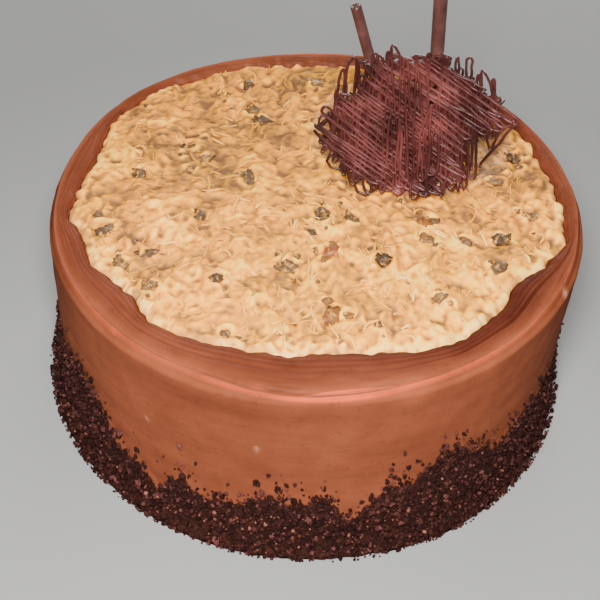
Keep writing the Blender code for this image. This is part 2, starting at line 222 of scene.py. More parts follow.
# Loose strands that cross the notch at the filigree's right: points in its own plane
LOOSE_STRANDS = (
    ((0.0180, 0.0040), (0.0178, -0.0110), (0.0174, -0.0246), (0.0158, -0.0262), (0.0142, -0.0220)),
    ((0.0214, 0.0080), (0.0215, -0.0090), (0.0218, -0.0236), (0.0232, -0.0254), (0.0247, -0.0236),
     (0.0246, -0.0090), (0.0242, 0.0080)),
    ((0.0228, 0.0080), (0.0231, -0.0060), (0.0230, -0.0205)),
    ((0.0262, -0.0190), (0.0266, -0.0170), (0.0340, -0.0070), (0.0410, 0.0036), (0.0330, 0.0062),
     (0.0220, 0.0110)),
    ((0.0285, 0.0050), (0.0292, -0.0060), (0.0304, -0.0112), (0.0330, -0.0040), (0.0330, 0.0060)),
)

# Crumbs at the foot: how far out they reach, and the height they climb to by angle in degrees
CRUMB_LIMIT = 0.1132
CRUMB_PROFILE = (
    (-168.0, 0.032), (-157.0, 0.036), (-148.0, 0.042), (-140.0, 0.040), (-134.0, 0.034),
    (-129.0, 0.020), (-124.0, 0.023), (-120.0, 0.013), (-114.0, 0.028), (-108.0, 0.023),
    (-101.0, 0.024), (-94.0, 0.033), (-88.0, 0.029), (-84.0, 0.033), (-78.5, 0.019),
    (-73.0, 0.033), (-66.0, 0.037), (-58.0, 0.046), (-51.0, 0.039), (-44.0, 0.030),
    (-35.0, 0.037), (-20.0, 0.033), (-2.0, 0.027), (18.0, 0.022), (42.0, 0.028),
    (68.0, 0.034), (92.0, 0.028), (117.0, 0.023), (140.0, 0.027), (163.0, 0.034),
)
# Single crumbs that cling above the band: angle in degrees, height, size
CRUMB_STRAYS = (
    (-110.5, 0.0405, 0.0011), (-97.7, 0.0391, 0.0020), (-95.4, 0.0445, 0.0012),
    (-91.8, 0.0397, 0.0015), (-139.5, 0.0440, 0.0013), (-57.0, 0.0480, 0.0016),
    (-70.0, 0.0400, 0.0014),
)
# Kinds of crumb: name, template fineness and jitter, first seed, count, least and largest
# size, depth of the heap
CRUMB_KINDS = (
    ("crumbs_coarse", 2, 0.55, 0, 2300, (0.0009, 0.0024), 0.0030),
    ("crumbs_fine", 1, 0.5, 10, 9000, (0.0005, 0.0013), 0.0034),
)
# The crumbs lie deeper below this height, and some cling above the band's edge
HEAP_HEIGHT = 0.016
STRAY_SHARE = 0.07
STRAY_REACH = 0.0035
FLECK_COUNT = 200
# Depth inside the crumb band, in millimetres, of a place that has no crumbs
NO_CRUMBS = -99.0

# Fineness of the modelled surfaces
TURN_STEPS = 640
COLLAR_ROWS = 64
SHOULDER_ROWS = 14
WALL_ROWS = 54
TOPPING_CELLS = 290
FIELD_STEP = 0.0004
FIELD_HALF = 0.1016
FIELD_SINK = 0.0012
CRUMB_TEMPLATES = 6
FLECK_TEMPLATES = 4
NUT_TEMPLATES = 8
SHRED_TEMPLATES = 12
SHRED_STEPS = 6
STRAND_SIDES = 8
STICK_SIDES = 48
STICK_RINGS = 60
COIL_RINGS = 14

# Camera, from the photograph's outlines
CAMERA_DISTANCE = 0.5
CAMERA_RISE = math.radians(43.91)
CAMERA_LIFT = 0.04
CAMERA_AIM = (-0.0038, 0.0, 0.0299)
CAMERA_ROLL = math.radians(3.73)
CAMERA_LENS = 70.26
# The key light's place as the camera sees it, and the floor
KEY_OFFSET = (-0.010, 0.055, 0.02)
FLOOR_SIZE = 24.0
FLOOR_DROP = 0.0002

# Ramp colour that leaves what it multiplies as it is
EVEN = (1.0, 1.0, 1.0)


# ---- shape functions ----

def rough(x, y, z, scale):
    """Smooth noise at a place, finer for a larger scale."""
    return noise.noise(Vector((x, y, z)) * scale)


def clamp(value, low=0.0, high=1.0):
    return min(max(value, low), high)


def hump(value, middle, spread):
    """A smooth bump of height 1 at a middle value."""
    return math.exp(-(((value - middle) / spread) ** 2))


def fall(value, middle, sharpness):
    """1 well below a middle value, falling smoothly to 0 above it."""
    return 1.0 / (1.0 + math.exp(sharpness * (value - middle)))


def from_degrees(angle, degrees):
    """Difference between an angle and one in degrees, within half a turn either way."""
    return (angle - math.radians(degrees) + math.pi) % math.tau - math.pi


def around(angle, middle, spread):
    """A smooth bump round the turn, centred on an angle in degrees."""
    return math.exp(-((from_degrees(angle, middle) / math.radians(spread)) ** 2))


def bumps(angle, rows):
    return sum(amount * around(angle, middle, spread) for middle, spread, amount in rows)


def polar(radius, angle):
    return radius * math.cos(angle), radius * math.sin(angle)


def leaned(x, y, z):
    """A place with the side toward +X raised in proportion to height, so the base stays flat."""
    return x, y, z * (1.0 + SIDE_LEAN * x / CREST_HEIGHT)


def topping_radius(angle):
    """Uneven inner edge of the collar: narrow at the back and sides, wide at the front."""
    ripple = 0.0008 * math.sin(5.0 * angle + 1.0) + 0.0006 * math.sin(9.0 * angle + 2.3)
    shift = TOPPING_SHIFT_BACK * math.sin(angle)
    return TOPPING_RADIUS + shift + TOPPING_WIDER * math.cos(2.0 * angle) + ripple


def collar_inner(angle):
    """The collar's inner edge, which strays from the even outline as a hand left it."""
    return topping_radius(angle) + bumps(angle, EDGE_STRAYS)


def lip_radius(angle):
    """Where the topping meets the collar, with the raggedness of the coconut mix."""
    x, y = polar(1.0, angle)
    return collar_inner(angle) + 0.0016 * rough(x, y, 0.0, 8.0) + 0.0013 * rough(x, y, 4.0, 21.0)


def bulge(angle):
    """The frosting swells outward a little at the back left."""
    return BULGE * hump(angle, BULGE_MIDDLE, BULGE_SPREAD)


def ridge_radius(angle):
    return RIDGE_RADIUS + bulge(angle)


def ridge_inset(angle):
    """Distance of the ridge's crest from the outline; it runs further out at the front."""
    return RIDGE_EDGE * (1.0 - 0.8 * around(angle, FRONT, 15.0))


def comb_drift(across, x, y):
    """Share of the way across the collar, wandering as the comb did."""
    return across + 0.05 * rough(x, y, 0.0, 1.6) + 0.02 * rough(x, y, across, 6.0)


def comb_marks(across, width, angle):
    """Height that the comb left: fine lines, one groove and a terrace inside it."""
    x, y = polar(1.0, angle)
    drift, narrow = comb_drift(across, x, y), min(width / COMBED_WIDTH, 1.0)
    fine = COMB_DEPTH * (0.6 + rough(x, y, 7.0, 2.5) + 0.5 * around(angle, -30.0, 30.0))
    fine *= narrow ** 2 * (1.0 + 1.6 * rough(x, y, 2.0 * across, 7.0))
    lines = fine * math.sin(math.tau * COMB_LINES * drift) * hump(across, 0.28, 0.26)
    groove = GROOVE_DEPTH * (0.20 + bumps(angle, GROOVE_BUMPS)) * hump(drift, GROOVE_AT, 0.045) * narrow
    terrace = TERRACE_DEPTH * bumps(angle, TERRACE_BUMPS) * fall(drift, GROOVE_AT, 40.0)
    return lines - groove - terrace


def collar_height(radius, angle):
    """Height of the collar: ragged inner lip, comb marks, and a ridge with its folds."""
    x, y = polar(1.0, angle)
    inner, outer = collar_inner(angle), ridge_radius(angle)
    across = max((radius - inner) / (outer - inner), 0.0)
    height = CREST_HEIGHT - COLLAR_DIP - (RIDGE_DROP - COLLAR_DIP) * across ** 3.5
    from_lip = radius - lip_radius(angle)
    height -= LIP_DROP * hump(from_lip, 0.0, 0.0008) + 0.5 * LIP_DROP * hump(from_lip, 0.0, 0.0030)
    height += comb_marks(across, outer - inner, angle)
    edge = outer - radius - ridge_inset(angle) + 0.0003 * rough(x, y, 1.0, 5.0)
    bead = BEAD_HEIGHT + 0.0005 * (rough(x, y, 3.0, 4.0) - around(angle, FRONT, 16.0))
    height += bead * hump(edge, 0.0, BEAD_SPREAD) - 0.0002 * hump(edge, 0.0019, 0.0009)
    height -= CHAMFER_DROP * clamp(-edge / RIDGE_EDGE, 0.0, 1.2) ** 1.3
    height += sum(rise * hump(edge, inset, spread) for inset, spread, rise in folds_at(angle))
    return height + 0.0002 * rough(x, y, across, 14.0)


def folds_at(angle):
    """Distance from the ridge, half width and height of each fold that passes an angle."""
    found = []
    for first, last, start, middle, end, spread, rise in FOLDS:
        share = (math.degrees(angle) - first) / (last - first)
        if 0.0 < share < 1.0:
            arch = math.sin(math.pi * share)
            inset = start + (end - start) * share + (middle - 0.5 * (start + end)) * arch
            found.append((inset - ridge_inset(angle), spread, rise * arch ** 0.7))
    return found


def crumb_edge(angle):
    """Ragged height up to which the crumbs cover the wall."""
    x, y = polar(1.0, angle)
    height = float(np.interp(math.degrees(angle), *zip(*CRUMB_PROFILE), period=360.0))
    return height + 0.0045 * rough(x, y, 2.0, 17.0) + 0.0030 * rough(x, y, 5.0, 45.0)


def wall_hollow(angle, height, spread):
    """A shallow hollow round the wall under the ridge, deepest at the front left."""
    return hump(height, HOLLOW_HEIGHT, spread) * (0.3 + around(angle, -114.0, 22.0))


def wall_radius(height, angle):
    """Outer radius of the wall, the crumb band and the foot at a height."""
    x, y = polar(1.0, angle)
    radius = WALL_RADIUS + bulge(angle) * height / CREST_HEIGHT
    radius += 0.0005 * rough(x, y, 0.0, 2.0 + 8.0 * height)
    radius += 0.00035 * rough(0.5 * x, 0.5 * y, height * 34.0, 3.0)
    radius += 0.00022 * rough(x, y, 9.5 * height, 14.0) - 0.0004 * wall_hollow(angle, height, 0.0050)
    edge = min(crumb_edge(angle), CRUMB_BAND_HEIGHT) + CRUMB_BAND_FADE
    if height < edge:
        share = 1.0 - height / edge
        lumps = 0.0007 * rough(x, y, 9.0 * height, 34.0)
        radius += (CRUMB_BAND_SWELL + lumps) * min(3.0 * share, 1.0) + FOOT_FLARE * share ** 5
    return radius


def topping_surface(x, y):
    """Height of the topping's rough, slightly domed surface before the lean."""
    share = min(math.hypot(x, y) / topping_radius(math.atan2(y, x)), 1.0)
    lumps = rough(x, y, 0.0, 75.0) + 0.6 * rough(x, y, 1.0 / 300.0, 150.0)
    flat = hump(x, LATTICE_CENTRE[0], 0.030) * hump(y, LATTICE_CENTRE[1] - 0.030, 0.022)
    return TOPPING_EDGE + TOPPING_DOME * (1.0 - share ** 2) + TOPPING_RELIEF * lumps * (1.0 - 0.8 * flat)


# ---- mesh helpers ----

def new_piece(name, verts, faces, material, slot, smooth=True, **values):
    """A mesh of triangles that rides on the part's one body, with named values per vertex."""
    mesh = bpy.data.meshes.new(name)
    verts = np.asarray(verts, dtype=np.float32)
    faces = np.asarray(faces, dtype=np.int32)
    mesh.vertices.add(len(verts))
    mesh.vertices.foreach_set("co", verts.ravel())
    mesh.loops.add(faces.size)
    mesh.loops.foreach_set("vertex_index", faces.ravel())
    mesh.polygons.add(len(faces))
    mesh.polygons.foreach_set("loop_start", np.arange(0, faces.size, 3, dtype=np.int32))
    mesh.polygons.foreach_set("use_smooth", np.full(len(faces), smooth))
    mesh.update(calc_edges=True)
    mesh.validate()
    mesh.materials.append(material)
    for label, amounts in values.items():
        layer = mesh.attributes.new(label, "FLOAT", "POINT")
        layer.data.foreach_set("value", np.asarray(amounts, dtype=np.float32))
    piece = bpy.data.objects.new(name, mesh)
    bpy.context.scene.collection.objects.link(piece)
    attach(piece, "root")
    return piece


def triangles(quads):
    """Split rows of four corners into triangles."""
    return np.concatenate([quads[:, (0, 1, 2)], quads[:, (0, 2, 3)]])


def fan(middle, loop):
    """Triangles from a middle corner to each step of a closed loop."""
    return np.stack([np.full(len(loop), middle), loop, np.roll(loop, -1)], axis=1)


def closed_skin(rings, sides):
    """Triangles over rings that run upward; the next two corners close the foot and the top."""
    here = np.arange((rings - 1) * sides)
    after = here - here % sides + (here + 1) % sides
    skin = triangles(np.stack([here, after, after + sides, here + sides], axis=1))
    loop, last = np.arange(sides), (rings - 1) * sides
    return np.concatenate([skin, fan(last + sides, loop[::-1]), fan(last + sides + 1, loop + last)])


def chunk_templates(count, subdivisions, jitter, first_seed):
    """Small irregular lumps of about unit radius."""
    return [chunk_template(subdivisions, jitter, first_seed + index) for index in range(count)]


def chunk_template(subdivisions, jitter, seed):
    bpy.ops.mesh.primitive_ico_sphere_add(subdivisions=subdivisions, radius=1.0)
    sphere = bpy.context.active_object
    rng = random.Random(seed)
    verts = []
    for vert in sphere.data.vertices:
        lump = noise.noise(vert.co * 1.3 + Vector((seed, 0.0, 0.0)))
        verts.append(vert.co * (1.0 + jitter * lump + 0.35 * jitter * rng.uniform(-1.0, 1.0)))
    faces = [tuple(face.vertices) for face in sphere.data.polygons]
    data = sphere.data
    bpy.data.objects.remove(sphere, do_unlink=True)
    bpy.data.meshes.remove(data)
    reach = max(vert.length for vert in verts)
    return np.array([tuple(vert / reach) for vert in verts]), np.array(faces)


def scatter(name, templates, placements, material, slot, smooth=True):
    """One piece of transformed copies: placements hold the template's index, matrix and tone."""
    verts, faces, tones = [], [], []
    start = 0
    for index, matrix, tone in placements:
        shape, polygons = templates[index]
        verts.append(shape @ np.array(matrix.to_3x3()).T + np.array(matrix.translation))
        faces.append(polygons + start)
        tones.append(np.full(len(shape), tone))
        start += len(shape)
    new_piece(name, np.concatenate(verts), np.concatenate(faces), material, slot, smooth,
              tone=np.concatenate(tones))


def placed(place, turn, sizes):
    """Matrix that scales, turns and then moves a template."""
    return Matrix.Translation(place) @ turn.to_matrix().to_4x4() @ Matrix.Diagonal((*sizes, 1.0))


def random_turn(rng):
    """An even random rotation."""
    a, b, c = rng.random(), rng.random() * math.tau, rng.random() * math.tau
    near, far = math.sqrt(1.0 - a), math.sqrt(a)
    return Quaternion((far * math.cos(c), near * math.sin(b), near * math.cos(b), far * math.sin(c)))


def tube(points, radii, sides):
    """Corners and triangles of a round tube along points, closed at both ends."""
    points = [Vector(point) for point in points]
    verts = []
    side = None
    for index, point in enumerate(points):
        ahead = points[min(index + 1, len(points) - 1)] - points[max(index - 1, 0)]
        ahead.normalize()
        if side is None:
            side = ahead.orthogonal().normalized()
        side = (side - ahead * side.dot(ahead)).normalized()
        up = ahead.cross(side)
        for step in range(sides):
            turn = math.tau * step / sides
            verts.append(point + (side * math.cos(turn) + up * math.sin(turn)) * radii[index])
    return verts + [points[0], points[-1]], closed_skin(len(points), sides)


# ---- materials ----

class Shader:
    """A Principled material with small helpers for its nodes. Ramp stops are (position, r, g, b)."""

    def __init__(self, name, roughness):
        self.material = bpy.data.materials.new(name)
        self.material.use_nodes = True
        self.nodes = self.material.node_tree.nodes
        self.links = self.material.node_tree.links
        self.main = self.nodes["Principled BSDF"]
        self.set(Roughness=roughness)
        self.place = self.nodes.new("ShaderNodeTexCoord").outputs["Object"]

    def set(self, **values):
        for label, value in values.items():
            self.main.inputs[label.replace("_", " ")].default_value = value

    def soften(self, weight, *radius):
        """Let a little light spread under the surface."""
        self.set(Subsurface_Weight=weight, Subsurface_Scale=0.0015, Subsurface_Radius=radius)

    def feed(self, socket, source):
        """Link an output to an input, or set the input to a plain value or colour."""
        if isinstance(source, bpy.types.NodeSocket):
            self.links.new(source, socket)
        else:
            socket.default_value = (*source, 1.0) if isinstance(source, tuple) else source

    def node(self, kind, inputs):
        """Add a node and feed its inputs, which are given by name or number."""
        node = self.nodes.new("ShaderNode" + kind)
        for socket, source in inputs.items():
            self.feed(node.inputs[socket], source)
        return node

    def noise(self, scale, detail=3.0, rough=0.55, vector=None, distort=0.0):
        inputs = {"Vector": vector or self.place, "Scale": scale, "Detail": detail}
        return self.node("TexNoise", {**inputs, "Roughness": rough, "Distortion": distort}).outputs["Fac"]

    def cells(self, scale):
        return self.node("TexVoronoi", {"Vector": self.place, "Scale": scale}).outputs["Distance"]

    def attribute(self, name):
        node = self.node("Attribute", {})
        node.attribute_name = name
        return node.outputs["Fac"]

    def ramp(self, factor, *stops):
        node = self.node("ValToRGB", {"Fac": factor})
        elements = node.color_ramp.elements
        while len(elements) < len(stops):
            elements.new(0.5)
        for element, (position, *colour) in zip(elements, stops):
            element.position = position
            element.color = (*colour, 1.0)
        return node.outputs["Color"]

    def math(self, operation, first, second=0.0):
        node = self.node("Math", {0: first, 1: second})
        node.operation = operation
        return node.outputs[0]

    def times(self, first, second):
        return self.math("MULTIPLY", first, second)

    def rescale(self, value, low, high, to_low=0.0, to_high=1.0):
        ends = {"From Min": low, "From Max": high, "To Min": to_low, "To Max": to_high}
        return self.node("MapRange", {"Value": value, **ends}).outputs["Result"]

    def mix(self, factor, first, second, blend="MIX"):
        node = self.nodes.new("ShaderNodeMix")
        node.data_type = "RGBA"
        node.blend_type = blend
        for socket, source in ((0, factor), (6, first), (7, second)):
            self.feed(node.inputs[socket], source)
        return node.outputs[2]

    def tint(self, colour, factor, *stops):
        """Multiply a colour by a ramp."""
        return self.mix(1.0, colour, self.ramp(factor, *stops), "MULTIPLY")

    def polar(self, radius_scale, angle_scale, height_scale):
        """Coordinates that follow the turn: radius, angle and height."""
        x, y, z = self.node("SeparateXYZ", {0: self.place}).outputs[:3]
        radius = self.math("SQRT", self.math("ADD", self.times(x, x), self.times(y, y)))
        angle = self.math("ARCTAN2", y, x)
        scaled = ((radius, radius_scale), (angle, angle_scale), (z, height_scale))
        inputs = {index: self.times(value, scale) for index, (value, scale) in enumerate(scaled)}
        return self.node("CombineXYZ", inputs).outputs[0]

    def bump(self, height, distance, strength, after=None):
        node = self.node("Bump", {"Strength": strength, "Distance": distance, "Height": height})
        if after is not None:
            self.links.new(after, node.inputs["Normal"])
        return node.outputs["Normal"]

    def finish(self, colour, normal=None, roughness=None):
        for label, source in (("Base Color", colour), ("Normal", normal), ("Roughness", roughness)):
            if source is not None:
                self.links.new(source, self.main.inputs[label])
        return self.material


def buttercream_material():
    """Chocolate buttercream with faint spatula streaks, and crumb dust where crumbs cling."""
    shader = Shader("chocolate_buttercream", 0.50)
    shader.set(Specular_IOR_Level=0.0, Coat_Weight=0.10, Coat_Roughness=0.42)
    shader.soften(0.05, 1.0, 0.5, 0.3)
    streaks = shader.noise(1.0, 3.0, 0.55, shader.polar(330.0, 2.4, 330.0))
    broad, blotches = shader.noise(24.0, 2.0), shader.noise(75.0, 4.0, 0.65)
    colour = shader.ramp(broad, (0.30, 0.176, 0.0472, 0.0208), (0.70, 0.224, 0.0615, 0.0280))
    colour = shader.tint(colour, streaks, (0.30, 0.965, 0.955, 0.95), (0.70, 1.02, 1.025, 1.03))
    colour = shader.tint(colour, blotches, (0.32, 0.91, 0.90, 0.90), (0.68, 1.06, 1.07, 1.07))
    colour = shader.tint(colour, shader.noise(330.0, 3.0, 0.6), (0.30, 0.86, 0.84, 0.84), (0.42, *EVEN),
                         (0.62, *EVEN), (0.74, 1.10, 1.12, 1.13))
    # Painted shade in the pores: their hollows are darkened toward dark brown
    pores = shader.rescale(shader.cells(300.0), 0.04, 0.13)
    hollow = shader.times(shader.math("SUBTRACT", 1.0, pores), 0.15)
    colour = shader.mix(hollow, colour, (0.11, 0.027, 0.010))
    # Tone below 0.5 is painted shade and above it painted highlight, pink at the ridge
    colour = shader.tint(colour, shader.attribute("tone"), (0.0, 0.30, 0.24, 0.28), (0.5, *EVEN),
                         (1.0, 2.7, 1.40, 1.06))
    colour = shader.mix(shader.attribute("smear"), colour, (0.46, 0.20, 0.12))
    dust = shader.noise(430.0, 4.0, 0.72)
    depth = shader.math("ADD", shader.attribute("crumbed"), shader.times(dust, 6.0))
    cover = shader.rescale(depth, 3.6, 4.6)
    crumb = shader.ramp(dust, (0.30, 0.016, 0.006, 0.005), (0.60, 0.044, 0.015, 0.011),
                        (0.74, 0.100, 0.030, 0.020))
    colour = shader.mix(cover, colour, crumb)
    normal = shader.bump(streaks, 0.0004, 0.35)
    normal = shader.bump(shader.noise(1500.0, 2.0), 0.0001, 0.25, normal)
    normal = shader.bump(pores, 0.0002, 0.30, normal)
    normal = shader.bump(shader.times(dust, cover), 0.0016, 0.9, normal)
    roughness = shader.math("ADD", shader.rescale(streaks, 0.3, 0.7, 0.46, 0.56), shader.times(cover, 0.25))
    return shader.finish(colour, normal, roughness)


def crumb_material():
    """Dark chocolate cake crumbs, each with its own tone."""
    shader = Shader("chocolate_crumb", 0.70)
    shader.set(Specular_IOR_Level=0.04)
    tone = shader.attribute("tone")
    colour = shader.ramp(tone, (0.0, 0.016, 0.0062, 0.0052), (0.60, 0.038, 0.0130, 0.0105),
                         (0.88, 0.070, 0.0235, 0.0200), (1.0, 0.125, 0.0430, 0.0390))
    grain = shader.noise(900.0, 4.0, 0.7)
    colour = shader.tint(colour, grain, (0.3, 0.68, 0.68, 0.70), (0.7, 1.2, 1.16, 1.16))
    return shader.finish(colour, shader.bump(grain, 0.0006, 0.9))


def fleck_material():
    """Bits of buttercream between the crumbs."""
    shader = Shader("frosting_fleck", 0.55)
    shader.set(Specular_IOR_Level=0.20)
    colour = shader.ramp(shader.attribute("tone"), (0.0, 0.090, 0.022, 0.010), (1.0, 0.230, 0.085, 0.060))
    return shader.finish(colour, shader.bump(shader.noise(900.0), 0.0004, 0.5))


def topping_material():
    """Moist coconut and caramel mix: creamy strands over tan hollows, painted dull where shade falls under
    the garnish and at the rim.
    """
    shader = Shader("coconut_mix", 0.42)
    shader.set(Specular_IOR_Level=0.0, Coat_Weight=0.04, Coat_Roughness=0.30)
    shader.soften(0.06, 1.0, 0.7, 0.4)
    mottle = shader.noise(260.0, 4.0, 0.62, distort=0.3)
    value = shader.math("ADD", shader.attribute("tone"), shader.rescale(mottle, 0.3, 0.7, -0.12, 0.12))
    colour = shader.ramp(value, (0.02, 0.18, 0.088, 0.040), (0.30, 0.42, 0.182, 0.035),
                         (0.54, 0.71, 0.270, 0.026), (0.76, 0.93, 0.380, 0.025), (1.0, 0.97, 0.550, 0.080))
    colour = shader.tint(colour, shader.noise(30.0, 2.0), (0.3, 0.90, 0.94, 0.86), (0.7, 1.05, 1.0, 1.04))
    # Dull, grey colours painted where shade falls
    dull = shader.ramp(value, (0.0, 0.22, 0.135, 0.085), (0.65, 0.60, 0.340, 0.180),
                       (0.95, 0.95, 0.600, 0.270))
    colour = shader.mix(shader.attribute("dull"), colour, dull)
    fine = shader.noise(900.0, 3.0, 0.6)
    normal = shader.bump(fine, 0.0003, 0.5, shader.bump(mottle, 0.0008, 0.5))
    return shader.finish(colour, normal, shader.rescale(fine, 0.3, 0.7, 0.28, 0.50))


def shred_material():
    """Coconut shreds coated in the mix: cream to caramel, slightly see-through."""
    shader = Shader("coconut_shred", 0.40)
    shader.set(Specular_IOR_Level=0.08)
    shader.soften(0.10, 1.0, 0.7, 0.4)
    colour = shader.ramp(shader.attribute("tone"), (0.0, 0.44, 0.190, 0.022), (0.5, 0.78, 0.340, 0.038),
                         (0.85, 0.95, 0.480, 0.070), (1.0, 0.98, 0.640, 0.180))
    fibre = shader.noise(600.0)
    colour = shader.tint(colour, fibre, (0.3, 0.90, 0.88, 0.84), (0.7, 1.03, 1.03, 1.03))
    return shader.finish(colour, shader.bump(fibre, 0.0003, 0.5))


def pecan_material():
    """Pecan pieces: dark skin and paler flesh, by tone, with dabs of the mix."""
    shader = Shader("pecan", 0.50)
    shader.set(Specular_IOR_Level=0.20)
    colour = shader.ramp(shader.attribute("tone"), (0.0, 0.048, 0.028, 0.018), (0.35, 0.100, 0.056, 0.028),
                         (0.65, 0.170, 0.085, 0.028), (0.85, 0.185, 0.068, 0.014),
                         (1.0, 0.240, 0.064, 0.026))
    grain = shader.noise(380.0, 4.0, 0.65)
    colour = shader.tint(colour, grain, (0.3, 0.60, 0.60, 0.60), (0.7, 1.35, 1.35, 1.35))
    dabs = shader.rescale(shader.noise(420.0, 3.0, 0.6), 0.54, 0.66, 0.0, 0.75)
    colour = shader.mix(dabs, colour, (0.62, 0.30, 0.060))
    return shader.finish(colour, shader.bump(grain, 0.0006, 0.7))


def chocolate_material(name, dark, light, roughness, painted_tone):
    """Set chocolate with faint clouding and a soft gloss; if asked, a tone attribute adds painted shade and
    highlights.
    """
    shader = Shader(name, roughness)
    shader.set(Specular_IOR_Level=0.30, Coat_Weight=0.08, Coat_Roughness=0.28)
    cloud = shader.noise(160.0)
    colour = shader.ramp(cloud, (0.3, *dark), (0.7, *light))
    patches = shader.noise(75.0, 2.0)
    colour = shader.tint(colour, patches, (0.36, 0.78, 0.76, 0.76), (0.64, 1.35, 1.38, 1.45))
    # Painted shade and highlights from the tone attribute
    if painted_tone:
        colour = shader.tint(colour, shader.attribute("tone"), (0.0, 0.42, 0.40, 0.40), (0.5, *EVEN),
                             (1.0, 2.1, 2.4, 2.5))
    return shader.finish(colour, shader.bump(shader.noise(900.0), 0.0002, 0.4),
                         shader.rescale(cloud, 0.3, 0.7, roughness - 0.06, roughness + 0.08))


def floor_material():
    """A plain floor that grows paler away from the middle, where less light falls."""
    shader = Shader("pale_floor", 0.8)
    shader.set(Specular_IOR_Level=0.20)
    length = shader.node("VectorMath", {0: shader.place})
    length.operation = "LENGTH"
    away = shader.rescale(length.outputs["Value"], 0.25, 1.6)
    return shader.finish(shader.ramp(away, (0.0, 0.265, 0.270, 0.270), (0.35, 0.46, 0.465, 0.465),
                                     (1.0, 0.88, 0.88, 0.88)))


# ---- frosted cake ----

def frosting_profile(angle):
    """Points (radius, height) of the frosting at an angle: lip, collar, shoulder and wall."""
    inner, outer = lip_radius(angle), ridge_radius(angle)
    points = [(inner, RECESS_FLOOR), (inner, 0.5 * (RECESS_FLOOR + CREST_HEIGHT))]
    for step in range(COLLAR_ROWS):
        share = 1.0 - (1.0 - step / (COLLAR_ROWS - 1)) ** 1.4
        radius = inner + (outer - inner) * share
        points.append((radius, collar_height(radius, angle)))
    top = collar_height(outer, angle)
    for step in range(SHOULDER_ROWS):
        share = ((step + 1) / SHOULDER_ROWS) ** 1.6
        height = top - (top - RECESS_FLOOR) * share
        out = math.sin(0.5 * math.pi * min(2.6 * share, 1.0))
        points.append((outer + (wall_radius(height, angle) - outer) * out, height))
    for step in range(WALL_ROWS):
        height = RECESS_FLOOR * (1.0 - (step + 1) / WALL_ROWS)
        points.append((wall_radius(height, angle), height))
    return points


def smear_amount(angle, height):
    """How much of a pale smear covers a place on the wall."""
    amount = 0.0
    for at, level, half_width, half_height in SMEARS:
        across = from_degrees(angle, at) * WALL_RADIUS / half_width
        amount += 0.8 * hump(across, 0.0, 1.0) * hump(height, level, half_height)
    return min(amount, 1.0)


def comb_shade(angle, across):
    """Painted shade on the combed band: over its inner part, deepest at its right, in its groove and along
    its comb lines.
    """
    x, y = polar(1.0, angle)
    drift = comb_drift(across, x, y)
    right = around(angle, -38.0, 24.0)
    band = 0.17 + 0.20 * right + bumps(angle, ((-86.0, 30.0, 0.10), (-150.0, 30.0, 0.07)))
    shade = band * fall(across, 0.76, 14.0)
    shade += 0.20 * right * fall(across, 0.36 + 0.08 * math.sin(4.0 * angle), 16.0)
    shade += 0.16 * right * hump(drift, 0.44, 0.030)
    shade += 0.05 * (1.0 - math.sin(math.tau * COMB_LINES * drift)) * hump(across, 0.26, 0.24)
    return shade - 0.07 * rough(x, y, 0.6 * across, 9.0)


def frosting_tone(angle, radius, height):
    """Painted tone of the frosting, 0.5 being even: painted shade in the wall's hollow, on the combed band
    and at the lip, and painted highlights and shade along the ridge and its folds.
    """
    # Painted shade in the hollow round the wall under the ridge
    tone = 0.5 - 0.10 * wall_hollow(angle, height, 0.0060)
    if height < RECESS_FLOOR or radius < PAINTED_TONE_FROM:
        return tone
    inner, outer = collar_inner(angle), ridge_radius(angle)
    across = (radius - inner) / (outer - inner)
    if across < 1.2:
        tone -= comb_shade(angle, across)
    edge = outer - radius - ridge_inset(angle) - max(CREST_HEIGHT - RIDGE_DROP - height, 0.0)
    # Painted highlight on the ridge's bead, painted shade just inside the lip
    tone += 0.12 * hump(edge, -0.0003, BEAD_SPREAD) - 0.08 * hump(across, 0.04, 0.16)
    # Painted highlights and painted shade along the ridge
    for middle, spread, inset, depth, amount in RIDGE_HIGHLIGHT_SHADE:
        tone += amount * around(angle, middle, spread) * hump(edge, inset, depth)
    # Painted highlights on the folds, strongest at the front
    fold_highlight = 130.0 * (0.4 + around(angle, -86.0, 20.0))
    tone += sum(fold_highlight * rise * hump(edge, inset, spread) for inset, spread, rise in folds_at(angle))
    return clamp(tone)


def build_frosting():
    angles = [math.tau * step / TURN_STEPS - math.pi for step in range(TURN_STEPS)]
    rows = list(zip(*(frosting_profile(angle) for angle in angles)))
    verts, crumbed, smear, tone = [], [], [], []
    for row in rows:
        for angle, (radius, height) in zip(angles, row):
            verts.append(leaned(*polar(radius, angle), height))
            crumbed.append(1000.0 * (crumb_edge(angle) - height) if radius > CRUMBED_FROM else NO_CRUMBS)
            smear.append(smear_amount(angle, height) if radius > SMEARED_FROM else 0.0)
            tone.append(frosting_tone(angle, radius, height))
    verts += [(0.0, 0.0, RECESS_FLOOR), (0.0, 0.0, 0.0)]
    faces = closed_skin(len(rows), TURN_STEPS)[:, ::-1]
    piece = new_piece("frosting", verts, faces, buttercream_material(), "buttercream", tone=tone + [0.5] * 2,
                      crumbed=crumbed + [NO_CRUMBS] * 2, smear=smear + [0.0] * 2)
    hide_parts("cake")


def on_wall(angle, height, proud, size, rng):
    """Matrix of a lump that clings to the wall at an angle and a height."""
    place = leaned(*polar(wall_radius(height, angle) + proud, angle), height)
    stretch = (size, size * rng.uniform(0.6, 1.0), size * rng.uniform(0.6, 1.0))
    return placed(Vector(place), random_turn(rng), stretch)


def heap_depth(height):
    """How deep the crumbs lie at a height: 1 at the foot, 0 above the heap."""
    return max(1.0 - height / HEAP_HEIGHT, 0.0)


